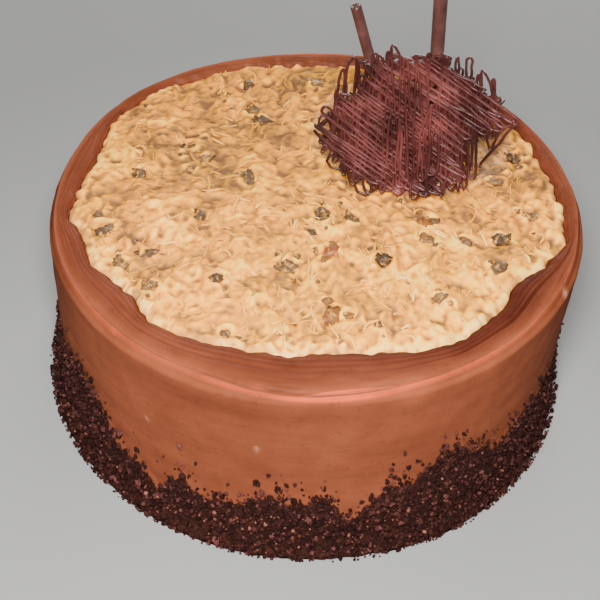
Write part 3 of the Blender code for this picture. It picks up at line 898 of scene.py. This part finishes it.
def crumb_placements(rng, count, sizes, depth):
    """Crumbs packed on the wall's foot, thinning out above the ragged edge."""
    made = []
    while len(made) < count:
        angle = rng.uniform(-math.pi, math.pi)
        edge = crumb_edge(angle)
        height = rng.uniform(0.0, 1.0) * edge
        if rng.random() < STRAY_SHARE:
            height = edge + rng.expovariate(1.0 / STRAY_REACH)
        elif rng.random() > edge / 0.045:
            continue
        size = sizes[0] + (sizes[1] - sizes[0]) * rng.random() ** 1.6
        proud = depth * rng.random() * (0.35 + heap_depth(height)) - 0.2 * size
        height = max(height, 1.05 * size)
        proud = min(proud, CRUMB_LIMIT - size - wall_radius(height, angle))
        tone = min(rng.random() ** 1.5 + (0.4 if rng.random() < 0.06 else 0.0), 1.0)
        made.append((rng.randrange(CRUMB_TEMPLATES), on_wall(angle, height, proud, size, rng), tone))
    return made


def stray_placements(rng):
    """Single crumbs that the frosting holds above the band."""
    made = []
    for degrees, height, size in CRUMB_STRAYS:
        matrix = on_wall(math.radians(degrees), height, 0.2 * size, size, rng)
        made.append((rng.randrange(CRUMB_TEMPLATES), matrix, 0.3))
    return made


def build_crumbs():
    material = crumb_material()
    rng = random.Random(21)
    for name, subdivisions, jitter, first_seed, count, sizes, depth in CRUMB_KINDS:
        templates = chunk_templates(CRUMB_TEMPLATES, subdivisions, jitter, first_seed)
        placements = crumb_placements(rng, count, sizes, depth)
        if name == "crumbs_coarse":
            placements += stray_placements(rng)
        scatter(name, templates, placements, material, "dark_chocolate", smooth=False)


def build_flecks():
    """Bits of frosting that stick out between the crumbs, most of them at the front."""
    rng = random.Random(23)
    templates = chunk_templates(FLECK_TEMPLATES, 2, 0.45, 20)
    placements = []
    while len(placements) < FLECK_COUNT:
        angle = rng.uniform(-math.pi, math.pi)
        if rng.random() > 0.25 + 0.75 * around(angle, -90.0, 24.0):
            continue
        height = rng.uniform(0.003, 0.75 * crumb_edge(angle))
        size = 0.0004 + 0.0010 * rng.random() ** 2
        proud = 0.0010 + 0.0016 * heap_depth(height) - 0.3 * size
        index = rng.randrange(FLECK_TEMPLATES)
        placements.append((index, on_wall(angle, height, proud, size, rng), rng.random()))
    scatter("frosting_flecks", templates, placements, fleck_material(), "buttercream")


# ---- topping ----

def blend(grid):
    """Average each point of a grid with its neighbours, in place."""
    grid[1:-1, :] = 0.25 * grid[:-2, :] + 0.5 * grid[1:-1, :] + 0.25 * grid[2:, :]
    grid[:, 1:-1] = 0.25 * grid[:, :-2] + 0.5 * grid[:, 1:-1] + 0.25 * grid[:, 2:]


def blurred(grid, reach):
    """A grid averaged over squares of cells around each of its points."""
    shifts = range(-reach, reach + 1, max(reach // 3, 1))
    rows = sum(np.roll(grid, shift, 0) for shift in shifts) / len(shifts)
    return sum(np.roll(rows, shift, 1) for shift in shifts) / len(shifts)


def field_base(x, y):
    """Height of the mix under its clumps: it rises to the collar's lip at the edge."""
    share = min(math.hypot(x, y) / topping_radius(math.atan2(y, x)), 1.0)
    rise = EDGE_RISE * (0.3 + 0.7 * share ** 4)
    return topping_surface(x, y) - FIELD_SINK + rise + 0.0005 * rough(x, y, 0.04, 230.0)


class Field:
    """Height and tone of the coconut mix on a fine square grid, before the lean."""

    def __init__(self):
        count = int(2.0 * FIELD_HALF / FIELD_STEP) + 1
        self.axis = np.linspace(-FIELD_HALF, FIELD_HALF, count)
        self.step = self.axis[1] - self.axis[0]
        self.x, self.y = np.meshgrid(self.axis, self.axis)
        self.height = self.over(field_base)
        self.tone = self.over(lambda x, y: 0.20 + 0.25 * rough(x, y, 0.02, 120.0))

    def over(self, value):
        """Grid of a function's values."""
        values = [value(x, y) for x, y in zip(self.x.ravel(), self.y.ravel())]
        return np.array(values).reshape(self.x.shape)

    def sample(self, grid, x, y):
        """Value of a grid at a place."""
        most = len(self.axis) - 1.001
        column = clamp((x + FIELD_HALF) / self.step, 0.0, most)
        row = clamp((y + FIELD_HALF) / self.step, 0.0, most)
        left, low = int(column), int(row)
        right, up = column - left, row - low
        below = grid[low, left] * (1.0 - right) + grid[low, left + 1] * right
        above = grid[low + 1, left] * (1.0 - right) + grid[low + 1, left + 1] * right
        return float(below * (1.0 - up) + above * up)

    def height_at(self, x, y):
        return self.sample(self.height, x, y)

    def window(self, low, high):
        """Slices of the grid that cover a rectangle between two corners."""
        first, last = np.searchsorted(self.axis, low[:2]), np.searchsorted(self.axis, high[:2])
        return slice(first[1], last[1]), slice(first[0], last[0])

    def lay_strand(self, path, half_width, rise, tone):
        """Lay a rounded strand along a path of (x, y, z) points, over what is there."""
        window = self.window(path.min(axis=0) - half_width, path.max(axis=0) + half_width)
        x, y = self.x[window], self.y[window]
        if x.size == 0:
            return
        nearest, level = np.full(x.shape, 1.0), np.zeros(x.shape)
        for start, end in zip(path[:-1], path[1:]):
            run = end - start
            along = ((x - start[0]) * run[0] + (y - start[1]) * run[1]) / (run[0] ** 2 + run[1] ** 2)
            along = np.clip(along, 0.0, 1.0)
            away = np.hypot(x - start[0] - along * run[0], y - start[1] - along * run[1])
            closer = away < nearest
            nearest = np.where(closer, away, nearest)
            level = np.where(closer, start[2] + along * run[2], level)
        shape = 1.0 - (nearest / half_width) ** 2
        top = level + rise * np.maximum(shape, 0.0)
        covers = (shape > 0.0) & (top > self.height[window])
        self.height[window] = np.where(covers, top, self.height[window])
        self.tone[window] = np.where(covers, tone, self.tone[window])

    def shade(self, amount):
        """Darken the hollows, partly where the caramel gathers and partly as painted shade, and lighten the
        humps as painted light.
        """
        smooth = self.height.copy()
        for _ in range(26):
            blend(smooth)
        self.tone += amount * np.clip((self.height - smooth) / 0.0006, -1.0, 1.0)

    def press(self, x, y, size):
        """Hollow a seat for a nut piece, with a low rim of mix round it."""
        place = np.array((x, y))
        window = self.window(place - 2.0 * size, place + 2.0 * size)
        away = np.hypot(self.x[window] - x, self.y[window] - y) / size
        self.height[window] += 0.14 * size * np.exp(-(((away - 1.25) / 0.30) ** 2))
        self.height[window] -= 0.25 * size * np.exp(-((away / 0.9) ** 2))
        self.tone[window] -= 0.35 * np.exp(-((away / 1.1) ** 4))


def topping_spot(rng, inset):
    """An even random place on the topping, clear of its edge by the inset."""
    angle = rng.uniform(-math.pi, math.pi)
    return polar((lip_radius(angle) - inset) * math.sqrt(rng.random()), angle)


def near_stick(x, y, room):
    feet = [(stick_foot(stick, TOPPING_EDGE), stick["radius"]) for stick in STICKS.values()]
    return any(math.hypot(x - foot.x, y - foot.y) < radius + room for foot, radius in feet)


def strand_heading(x, y, rng):
    """Strands lie in loose swaths, as a spatula spread them."""
    return math.pi * rough(x, y, 0.05, 14.0) + rng.gauss(0.0, 0.75)


def from_garnish(x, y, back):
    """Distance from a place a little behind the garnish's centre."""
    return math.hypot(x - LATTICE_CENTRE[0], y - LATTICE_CENTRE[1] - back)


def patch_and_shade_tone(x, y):
    """Slow change of tone over the topping: cream patches, painted shade under the garnish, and painted
    shade deepening toward the back.
    """
    patches = 0.46 * rough(x, y, 0.07, 95.0) + 0.36 * rough(x, y, 0.08, 42.0)
    # Painted shadow of the garnish
    garnish_shadow = 0.30 * hump(from_garnish(x, y, 0.004), 0.0, 0.026)
    # Painted shade deepening toward the back, with a darker patch at the back left
    back = 0.12 * hump(math.hypot(x + 0.045, y - 0.055), 0.0, 0.050) + 2.8 * max(y, 0.0)
    return patches - back - garnish_shadow


def dullness(x, y, share):
    """How far the mix's colour is painted dull as painted shade: most in the garnish's shade, some at its
    rim.
    """
    away = from_garnish(x, y, 0.014)
    shade = 0.95 * hump(away, 0.0, 0.030) ** 0.5 if away < 0.042 else 0.0
    edge = 0.24 + 0.24 * rough(x, y, 0.05, 60.0)
    return max(shade, edge * clamp((share - 0.966) / 0.018))


def lay_strands(field, rng, count, lengths, widths, rise, tones):
    """Lay curved strands at random places; tones are their mean and spread."""
    base = field.height.copy()
    for _ in range(count):
        x, y = topping_spot(rng, 0.0005)
        heading, length = strand_heading(x, y, rng), rng.uniform(*lengths)
        bend = rng.uniform(-0.9, 0.9)
        points = []
        for share in (-0.5, -0.25, 0.0, 0.25, 0.5):
            ahead, aside = polar(length * share, heading + bend * share)
            points.append((x + ahead, y + aside))
        path = np.array([(*point, field.sample(base, *point)) for point in points])
        path[:, 2] += rng.uniform(-0.0005, 0.0003)
        tone = clamp(rng.gauss(*tones) + patch_and_shade_tone(x, y), 0.05)
        field.lay_strand(path, rng.uniform(*widths), rise * rng.uniform(0.6, 1.3), tone)


def seat_radius(sizes):
    """Radius of the hollow in which a nut piece sits."""
    return min(sizes[0], 1.35 * sizes[1])


def lap_nuts(field, rng, nuts):
    """Let the mix lap over the edges of the nut pieces here and there."""
    for (x, y), sizes, _ in nuts:
        seat = seat_radius(sizes)
        for _ in range(int(1.0 + seat / 0.0014)):
            turn, bend = rng.uniform(0.0, math.tau), rng.uniform(0.3, 0.7)
            away = seat * rng.uniform(0.75, 1.20)
            path = []
            for share in (-1.0, 0.0, 1.0):
                ahead, aside = polar(away, turn + bend * share)
                path.append((x + ahead, y + aside, field.height_at(x + ahead, y + aside) + 0.0002))
            field.lay_strand(np.array(path), rng.uniform(0.0007, 0.0012), 0.0006, rng.uniform(0.5, 0.95))


def make_field(nuts):
    """The surface of the mix: clumps, thousands of coated strands and the seats of the nuts."""
    field = Field()
    rng = random.Random(29)
    lay_strands(field, rng, 1500, (0.0010, 0.0035), (0.0014, 0.0030), 0.0012, (0.58, 0.10))
    lay_strands(field, rng, 2000, (0.0025, 0.0080), (0.0008, 0.0013), 0.0006, (0.62, 0.14))
    for (x, y), sizes, _ in nuts:
        field.press(x, y, seat_radius(sizes))
    lay_strands(field, rng, 1000, (0.0015, 0.0060), (0.0007, 0.0011), 0.0005, (0.66, 0.14))
    lap_nuts(field, rng, nuts)
    for grid in (field.height, field.tone) * 2:
        blend(grid)
    field.shade(0.20)
    field.height += field.over(lambda x, y: 0.00025 * rough(x, y, 0.03, 620.0))
    return field


def disc_point(u, v):
    """Even map from the square -1..1 to the unit disc, as a signed radius and an angle."""
    if abs(u) < 1e-9 and abs(v) < 1e-9:
        return 0.0, 0.0
    if abs(u) > abs(v):
        return u, 0.25 * math.pi * v / u
    return v, 0.5 * math.pi - 0.25 * math.pi * u / v


def topping_point(field, radius, angle):
    """Corner of the topping for a point of the unit disc; its rim curls down to the lip."""
    x, y = polar(radius, angle)
    size = lip_radius(math.atan2(y, x)) - 0.5 * GAP
    height = field.height_at(x * size, y * size)
    if abs(radius) > RIM_FROM:
        height -= RIM_CURL * ((abs(radius) - RIM_FROM) / (1.0 - RIM_FROM)) ** 2
    return leaned(x * size, y * size, height)


def build_topping(field):
    """Skin of the mix down to the recess's floor; painted shade darkens the hollows in its surface, and
    painted light brightens its rim.
    """
    verts, tones, dulls = [], [], []
    hollows = field.height - blurred(field.height, int(HOLLOW_REACH / field.step))
    steps = [2.0 * step / TOPPING_CELLS - 1.0 for step in range(TOPPING_CELLS + 1)]
    for radius, angle in [disc_point(u, v) for v in steps for u in steps]:
        verts.append(topping_point(field, radius, angle))
        x, y, _ = verts[-1]
        # Painted shade in the surface's hollows, and painted light on the rim where it curls down
        hollow = clamp(180.0 * field.sample(hollows, x, y), -0.16, 0.04)
        tones.append(field.sample(field.tone, x, y) + hollow + RIM_PAINTED_LIGHT * (abs(radius) > RIM_FROM - 0.005))
        dulls.append(dullness(x, y, abs(radius)))
    index = np.arange(len(verts)).reshape(len(steps), len(steps))
    corners = (index[:-1, :-1], index[:-1, 1:], index[1:, 1:], index[1:, :-1])
    top = triangles(np.stack([corner.ravel() for corner in corners], axis=1))
    rim = np.concatenate([index[0, :-1], index[:-1, -1], index[-1, :0:-1], index[:0:-1, 0]])
    low = len(verts) + np.arange(len(rim))
    side = triangles(np.stack([rim, low, np.roll(low, -1), np.roll(rim, -1)], axis=1))
    floor = RECESS_FLOOR + GAP
    verts += [leaned(*verts[item][:2], floor) for item in rim] + [(0.0, 0.0, floor)]
    hidden = len(rim) + 1
    faces = np.concatenate([top, side, fan(low[-1] + 1, low[::-1])])
    piece = new_piece("coconut_mix", verts, faces, topping_material(), "coconut_topping",
                      tone=tones + [0.3] * hidden, dull=dulls + [0.0] * hidden)
    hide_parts("coconut_topping")


def shred_template(seed):
    """A curved, flattened and tapered strip of unit length."""
    rng = random.Random(seed)
    bend, wave = rng.uniform(-0.30, 0.30), rng.uniform(-0.07, 0.07)
    points, radii = [], []
    for step in range(SHRED_STEPS + 1):
        share = step / SHRED_STEPS
        arch = math.sin(math.pi * share)
        points.append((share - 0.5, bend * arch + wave * math.sin(6.0 * share), 0.03 * arch))
        radii.append(0.085 * (0.5 + 0.5 * math.sin(math.pi * clamp(share, 0.10, 0.90))))
    verts, faces = tube(points, radii, 6)
    return np.array([tuple(vert) for vert in verts]), faces


def build_shreds(field):
    """Single shreds that lie on the mix and follow its slope."""
    rng = random.Random(31)
    templates = [shred_template(seed) for seed in range(SHRED_TEMPLATES)]
    placements = []
    while len(placements) < SHRED_COUNT:
        x, y = topping_spot(rng, 0.0035)
        if near_stick(x, y, 0.003):
            continue
        length = rng.uniform(0.0035, 0.0090)
        heading = strand_heading(x, y, rng)
        ahead, aside = polar(0.4 * length, heading)
        rise = field.height_at(x + ahead, y + aside) - field.height_at(x - ahead, y - aside)
        slope = -math.atan2(rise, 0.8 * length) + rng.gauss(0.0, 0.05)
        turn = Matrix.Rotation(heading, 3, "Z") @ Matrix.Rotation(slope, 3, "Y")
        turn = turn @ Matrix.Rotation(rng.uniform(-0.5, 0.5), 3, "X")
        width = rng.uniform(0.0045, 0.0075)
        place = Vector(leaned(x, y, field.height_at(x, y) + rng.uniform(-0.0003, 0.0002)))
        tone = clamp(rng.gauss(0.55, 0.20) + patch_and_shade_tone(x, y))
        matrix = placed(place, turn.to_quaternion(), (length, width, 0.7 * width))
        placements.append((rng.randrange(SHRED_TEMPLATES), matrix, tone))
    scatter("coconut_shreds", templates, placements, shred_material(), "coconut_topping")


def scatter_nuts():
    """The listed pecan pieces with the crumbs broken off them, and smaller bits between."""
    rng = random.Random(41)
    nuts = list(PECANS)
    for (x, y), sizes, tone in PECANS:
        for _ in range(rng.randrange(0, 3)):
            turn, away = rng.uniform(0.0, math.tau), sizes[0] * rng.uniform(1.1, 1.7)
            size = sizes[0] * rng.uniform(0.25, 0.45)
            ahead, aside = polar(away, turn)
            tone_here = min(tone + rng.uniform(0.0, 0.4), 0.8)
            nuts.append(((x + ahead, y + aside), (size * 1.3, size, size * 0.8), tone_here))
    while len(nuts) < NUT_COUNT:
        x, y = topping_spot(rng, 0.003)
        if near_stick(x, y, 0.004):
            continue
        size = 0.0008 + 0.0022 * rng.random() ** 1.6
        sizes = (size * rng.uniform(1.0, 1.8), size * 0.9, size * rng.uniform(0.5, 0.9))
        nuts.append(((x, y), sizes, rng.uniform(0.1, 0.85)))
    return nuts


def build_pecans(field, nuts):
    """The nut pieces: large ones have the finer templates, and the widest are scaled up most."""
    rng = random.Random(43)
    templates = chunk_templates(NUT_TEMPLATES, 3, 0.75, 30) + chunk_templates(NUT_TEMPLATES, 2, 0.6, 50)
    placements = []
    for (x, y), sizes, tone in nuts:
        first = 0 if sizes[0] > LARGE_NUT else NUT_TEMPLATES
        tilt = Matrix.Rotation(rng.uniform(-0.3, 0.3), 3, "X")
        tilt = tilt @ Matrix.Rotation(rng.uniform(0.0, 3.1), 3, "Z")
        place = Vector(leaned(x, y, field.height_at(x, y) + 0.16 * sizes[2]))
        scale = 1.65 if sizes[0] > WIDE_NUT else 1.2
        matrix = placed(place, tilt.to_quaternion(), [scale * size for size in sizes])
        placements.append((first + rng.randrange(NUT_TEMPLATES), matrix, tone))
    scatter("pecan_pieces", templates, placements, pecan_material(), "coconut_topping")


# ---- garnish ----

def inside(point, layer):
    """Whether a place lies within a layer's outline and off the corners cut from it."""
    def over(start_x, start_y, slope):
        return point.y - start_y - slope * (point.x - start_x)

    if any(point.x > cut[0] and over(*cut) < 0.0 for cut in LOWER_CUTS):
        return False
    if not layer.crown:
        if point.x < UPPER_LEFT_END and over(*UPPER_LEFT_CUT) > 0.0:
            return False
        if point.x > UPPER_RIGHT_CUT[0] and over(*UPPER_RIGHT_CUT) > 0.0:
            return False
    across, along = abs(point.x) / layer.half_width, abs(point.y) / layer.half_depth
    return across ** layer.squareness + along ** layer.squareness < 1.0


def reach(start, direction, layer):
    """How far a pass runs from its start before it leaves the layer's outline."""
    length = 0.0
    while length < 2.0 * layer.half_width and inside(start + direction * length, layer):
        length += REACH_STEP
    return length


def layer_passes(layer, rng):
    """Start, end and direction of a layer's passes, to and fro, with a hand's unevenness."""
    along = Vector((*polar(1.0, math.radians(layer.turn)), 0.0))
    across = Vector((-along.y, along.x, 0.0))
    half_count = int(layer.half_width / layer.pitch)
    passes = []
    for index in range(-half_count, half_count + 1):
        middle = across * (layer.pitch * (index + rng.uniform(-0.42, 0.42)))
        tilt = Matrix.Rotation(rng.gauss(0.0, 0.055), 3, "Z")
        way = tilt @ (along if index % 2 else -along)
        back, front = reach(middle, -way, layer), reach(middle, way, layer)
        if back + front < SHORTEST_PASS:
            continue
        back += rng.uniform(-layer.uneven, 0.0004) + LONG_EXTRA * (rng.random() < LONG_SHARE)
        front += rng.uniform(-layer.uneven, 0.0004) + LONG_EXTRA * (rng.random() < LONG_SHARE)
        passes.append((middle - way * back, middle + way * front, way))
    return passes


def piped_path(layer, rng):
    """Path of one layer: slightly wavy passes joined by hairpin loops."""
    height = layer.level * STRAND_HEIGHT
    passes = layer_passes(layer, rng)
    path = []

    def raised(x, lift=0.0):
        return Vector((0.0, 0.0, height + lift + layer.crown * hump(x, CROWN_X, CROWN_SPREAD)))

    for index, (start, end, way) in enumerate(passes):
        side = Vector((-way.y, way.x, 0.0))
        seed = Vector((index * 3.0, height * 999.0, 0.0))
        steps = max(int((end - start).length / STRAND_STEP), 2)
        for step in range(steps + 1):
            point = start.lerp(end, step / steps)
            sway = 0.0011 * noise.noise(point * 70.0 + seed) + 0.0003 * noise.noise(point * 330.0 + seed)
            path.append(point + side * sway + raised(point.x, 0.0004 * noise.noise(point * 260.0 - seed)))
        if index + 1 < len(passes):
            following, _, turned = passes[index + 1]
            handle = rng.uniform(0.24, 1.00) * (following - end).length
            path += [curve + raised(curve.x) for curve in hairpin(end, way, following, turned, handle)]
    return path


def hairpin(end, way, following, turned, handle):
    """Points of a curve from the end of one pass to the start of the next."""
    out, back = end + way * handle, following - turned * handle
    points = []
    for share in (0.25, 0.5, 0.75):
        left = 1.0 - share
        curve = end * left ** 3 + out * (3.0 * share * left ** 2)
        points.append(curve + back * (3.0 * share ** 2 * left) + following * share ** 3)
    return points


def loose_path(points, height):
    """A strand along a few points, with rounded turns and a slight waver."""
    points = [Vector((*point, height)) for point in points]
    path = []
    for start, end in zip(points[:-1], points[1:]):
        steps = max(int((end - start).length / STRAND_STEP), 2)
        path += [start.lerp(end, step / steps) for step in range(steps)]
    path.append(points[-1])
    rounded = [path[0]]
    for before, point, after in zip(path[:-2], path[1:-1], path[2:]):
        waver = 0.0005 * noise.noise(point * 160.0)
        rounded.append(before * 0.25 + point * 0.5 + after * 0.25 + Vector((waver, 0.0, 0.0)))
    return rounded + [path[-1]]


def upright_points(rng):
    """Corners of the upright passes that lie over the others in the lower middle."""
    points = []
    x, last = UPRIGHT_SPAN
    while x < last:
        low = UPRIGHT_LOW + 45.0 * (x + 0.001) ** 2 + rng.uniform(-0.0006, 0.0040)
        high = -0.0010 + rng.uniform(-0.0100, 0.0110)
        lean = rng.uniform(-0.0012, 0.0020)
        points += ((x, low), (x - lean, high)) if len(points) % 4 else ((x - lean, high), (x, low))
        x += rng.uniform(0.0014, 0.0038)
    return points


def strand_tone(place, paler):
    """Painted tone of a strand: painted shade on the lower layers, darker toward the rim, painted highlights
    along two upright bands.
    """
    tone = 0.47 + 0.10 * paler + 0.75 * noise.noise(place * 60.0)
    # Painted highlights along two upright bands in the lower middle
    bands = hump(place.x, -0.0055, 0.0022) + hump(place.x, 0.0022, 0.0024)
    tone += 0.44 * bands * hump(place.y, -0.0160, 0.0130)
    return clamp(tone - 0.16 * hump(math.hypot(place.x / 1.2, place.y - 0.002), 0.0300, 0.0080))


def build_lattice():
    rng = random.Random(3)
    paths = [(piped_path(layer, rng), layer.paler) for layer in STRAND_LAYERS]
    paths += [(loose_path(points, LOOSE_LEVEL * STRAND_HEIGHT), 0.0) for points in LOOSE_STRANDS]
    # The upright passes carry the most painted highlight
    paths.append((loose_path(upright_points(rng), UPRIGHT_LEVEL * STRAND_HEIGHT), 1.5))
    verts, faces, tones = [], [], []
    for path, paler in paths:
        radii = [STRAND_RADIUS * (1.0 + 0.30 * noise.noise(point * 150.0)) for point in path]
        ring_verts, ring_faces = tube(path, radii, STRAND_SIDES)
        faces.append(ring_faces + len(verts))
        verts += ring_verts
        tones += [strand_tone(vert, paler) for vert in ring_verts]
    spot = Matrix.Translation(Vector(LATTICE_CENTRE)) @ Matrix.Rotation(LATTICE_TILT, 4, "X")
    dark, light = (0.042, 0.0092, 0.0075), (0.082, 0.0185, 0.0155)
    material = chocolate_material("piped_chocolate", dark, light, 0.40, True)
    piece = new_piece("filigree", [spot @ vert for vert in verts], np.concatenate(faces), material,
                      "dark_chocolate", tone=tones)
    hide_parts("lattice")


def stick_foot(stick, height):
    """Point of a stick's axis at a height."""
    low, top = Vector(stick["low"]), Vector(stick["top"])
    along = top - low
    return low + along * ((height - low.z) / along.z)


def stick_ring(share, radius, length):
    """Ring of a stick wound from a thin sheet, whose edge shows as a seam."""
    ring = []
    for step in range(STICK_SIDES):
        turn = math.tau * step / STICK_SIDES
        seam = 0.10 * radius * (1.0 - step / (STICK_SIDES - 1.0))
        wear = 0.02 * radius * rough(*polar(1.0, turn), share * 9.0, 2.0)
        ring.append(Vector((*polar(radius - seam + wear, turn + STICK_TWIST * share), share * length)))
    return ring


def coil_ring(share, radius, length):
    """Ring of a stick's end, which dips along a spiral toward its middle."""
    ring = []
    for step in range(STICK_SIDES):
        turn = math.tau * step / STICK_SIDES
        coil = math.sin(math.tau * 3.0 * share - turn) * min(4.0 * (1.0 - share), 1.0)
        depth = radius * (0.10 * (1.0 - share) + 0.07 * coil)
        ring.append(Vector((*polar(0.95 * radius * share, turn + STICK_TWIST), length - depth)))
    return ring


def build_sticks():
    """Rolled chocolate sticks, each with its seam and coiled end."""
    dark, light = (0.046, 0.0165, 0.0145), (0.086, 0.033, 0.029)
    material = chocolate_material("rolled_chocolate", dark, light, 0.38, False)
    for name, stick in STICKS.items():
        foot, tip = stick_foot(stick, STICK_FOOT), Vector(stick["top"])
        length, radius = (tip - foot).length - 0.0002, stick["radius"]
        verts = []
        for ring in range(STICK_RINGS + 1):
            verts += stick_ring(ring / STICK_RINGS, radius, length)
        for ring in range(1, COIL_RINGS + 1):
            verts += coil_ring(1.0 - ring / (COIL_RINGS + 1.0), radius, length)
        verts += [Vector((0.0, 0.0, 0.0)), Vector((0.0, 0.0, length - 0.12 * radius))]
        faces = closed_skin(STICK_RINGS + 1 + COIL_RINGS, STICK_SIDES)
        spot = Matrix.Translation(foot) @ (tip - foot).to_track_quat("Z", "Y").to_matrix().to_4x4()
        verts = [spot @ vert for vert in verts]
        piece = new_piece("chocolate_" + name, verts, faces, material, "milk_chocolate")
        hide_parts(name)


# ---- stage ----

def build_floor():
    bpy.ops.mesh.primitive_plane_add(size=FLOOR_SIZE, location=(0.0, 0.0, -FLOOR_DROP))
    floor = bpy.context.active_object
    floor.name = "floor"
    floor.data.materials.append(floor_material())


def looking(place, aim):
    """Rotation of a lamp or camera at a place that looks at an aim."""
    return (Vector(place) - Vector(aim)).to_track_quat("Z", "Y")


def add_area_light(name, place, aim, size, power, colour):
    light = bpy.data.lights.new(name, "AREA")
    light.shape = "DISK"
    light.size = size
    light.energy = power
    light.color = colour
    lamp = bpy.data.objects.new(name, light)
    lamp.location = place
    lamp.rotation_euler = looking(place, aim).to_euler()
    bpy.context.scene.collection.objects.link(lamp)


def build_lights():
    """A small key light beside the camera, a broad light behind and a dim even surround."""
    key_place = bpy.context.scene.camera.matrix_world @ Vector(KEY_OFFSET)
    add_area_light("key_light", key_place, aim=(0.0, -0.02, 0.06), size=0.13, power=7.8,
                   colour=(1.0, 0.97, 0.93))
    add_area_light("back_light", (0.15, 1.5, 0.42), aim=(0.0, 0.0, 0.05), size=1.0, power=30.0,
                   colour=(1.0, 0.97, 0.94))
    world = bpy.data.worlds.new("studio")
    world.use_nodes = True
    background = world.node_tree.nodes["Background"]
    background.inputs["Color"].default_value = (0.86, 0.89, 0.92, 1.0)
    background.inputs["Strength"].default_value = 0.15
    bpy.context.scene.world = world


def build_camera():
    back, up = polar(CAMERA_DISTANCE, CAMERA_RISE)
    place = (0.0, -back, up + CAMERA_LIFT)
    data = bpy.data.cameras.new("camera")
    data.sensor_width = 36.0
    data.lens = CAMERA_LENS
    camera = bpy.data.objects.new("camera", data)
    look = looking(place, CAMERA_AIM).to_matrix().to_4x4()
    camera.matrix_world = Matrix.Translation(place) @ look @ Matrix.Rotation(CAMERA_ROLL, 4, "Z")
    bpy.context.scene.collection.objects.link(camera)
    bpy.context.scene.camera = camera


build_camera()
build_frosting()
build_crumbs()
build_flecks()
nut_list = scatter_nuts()
mix_field = make_field(nut_list)
build_topping(mix_field)
build_shreds(mix_field)
build_pecans(mix_field, nut_list)
build_lattice()
build_sticks()
build_floor()
build_lights()
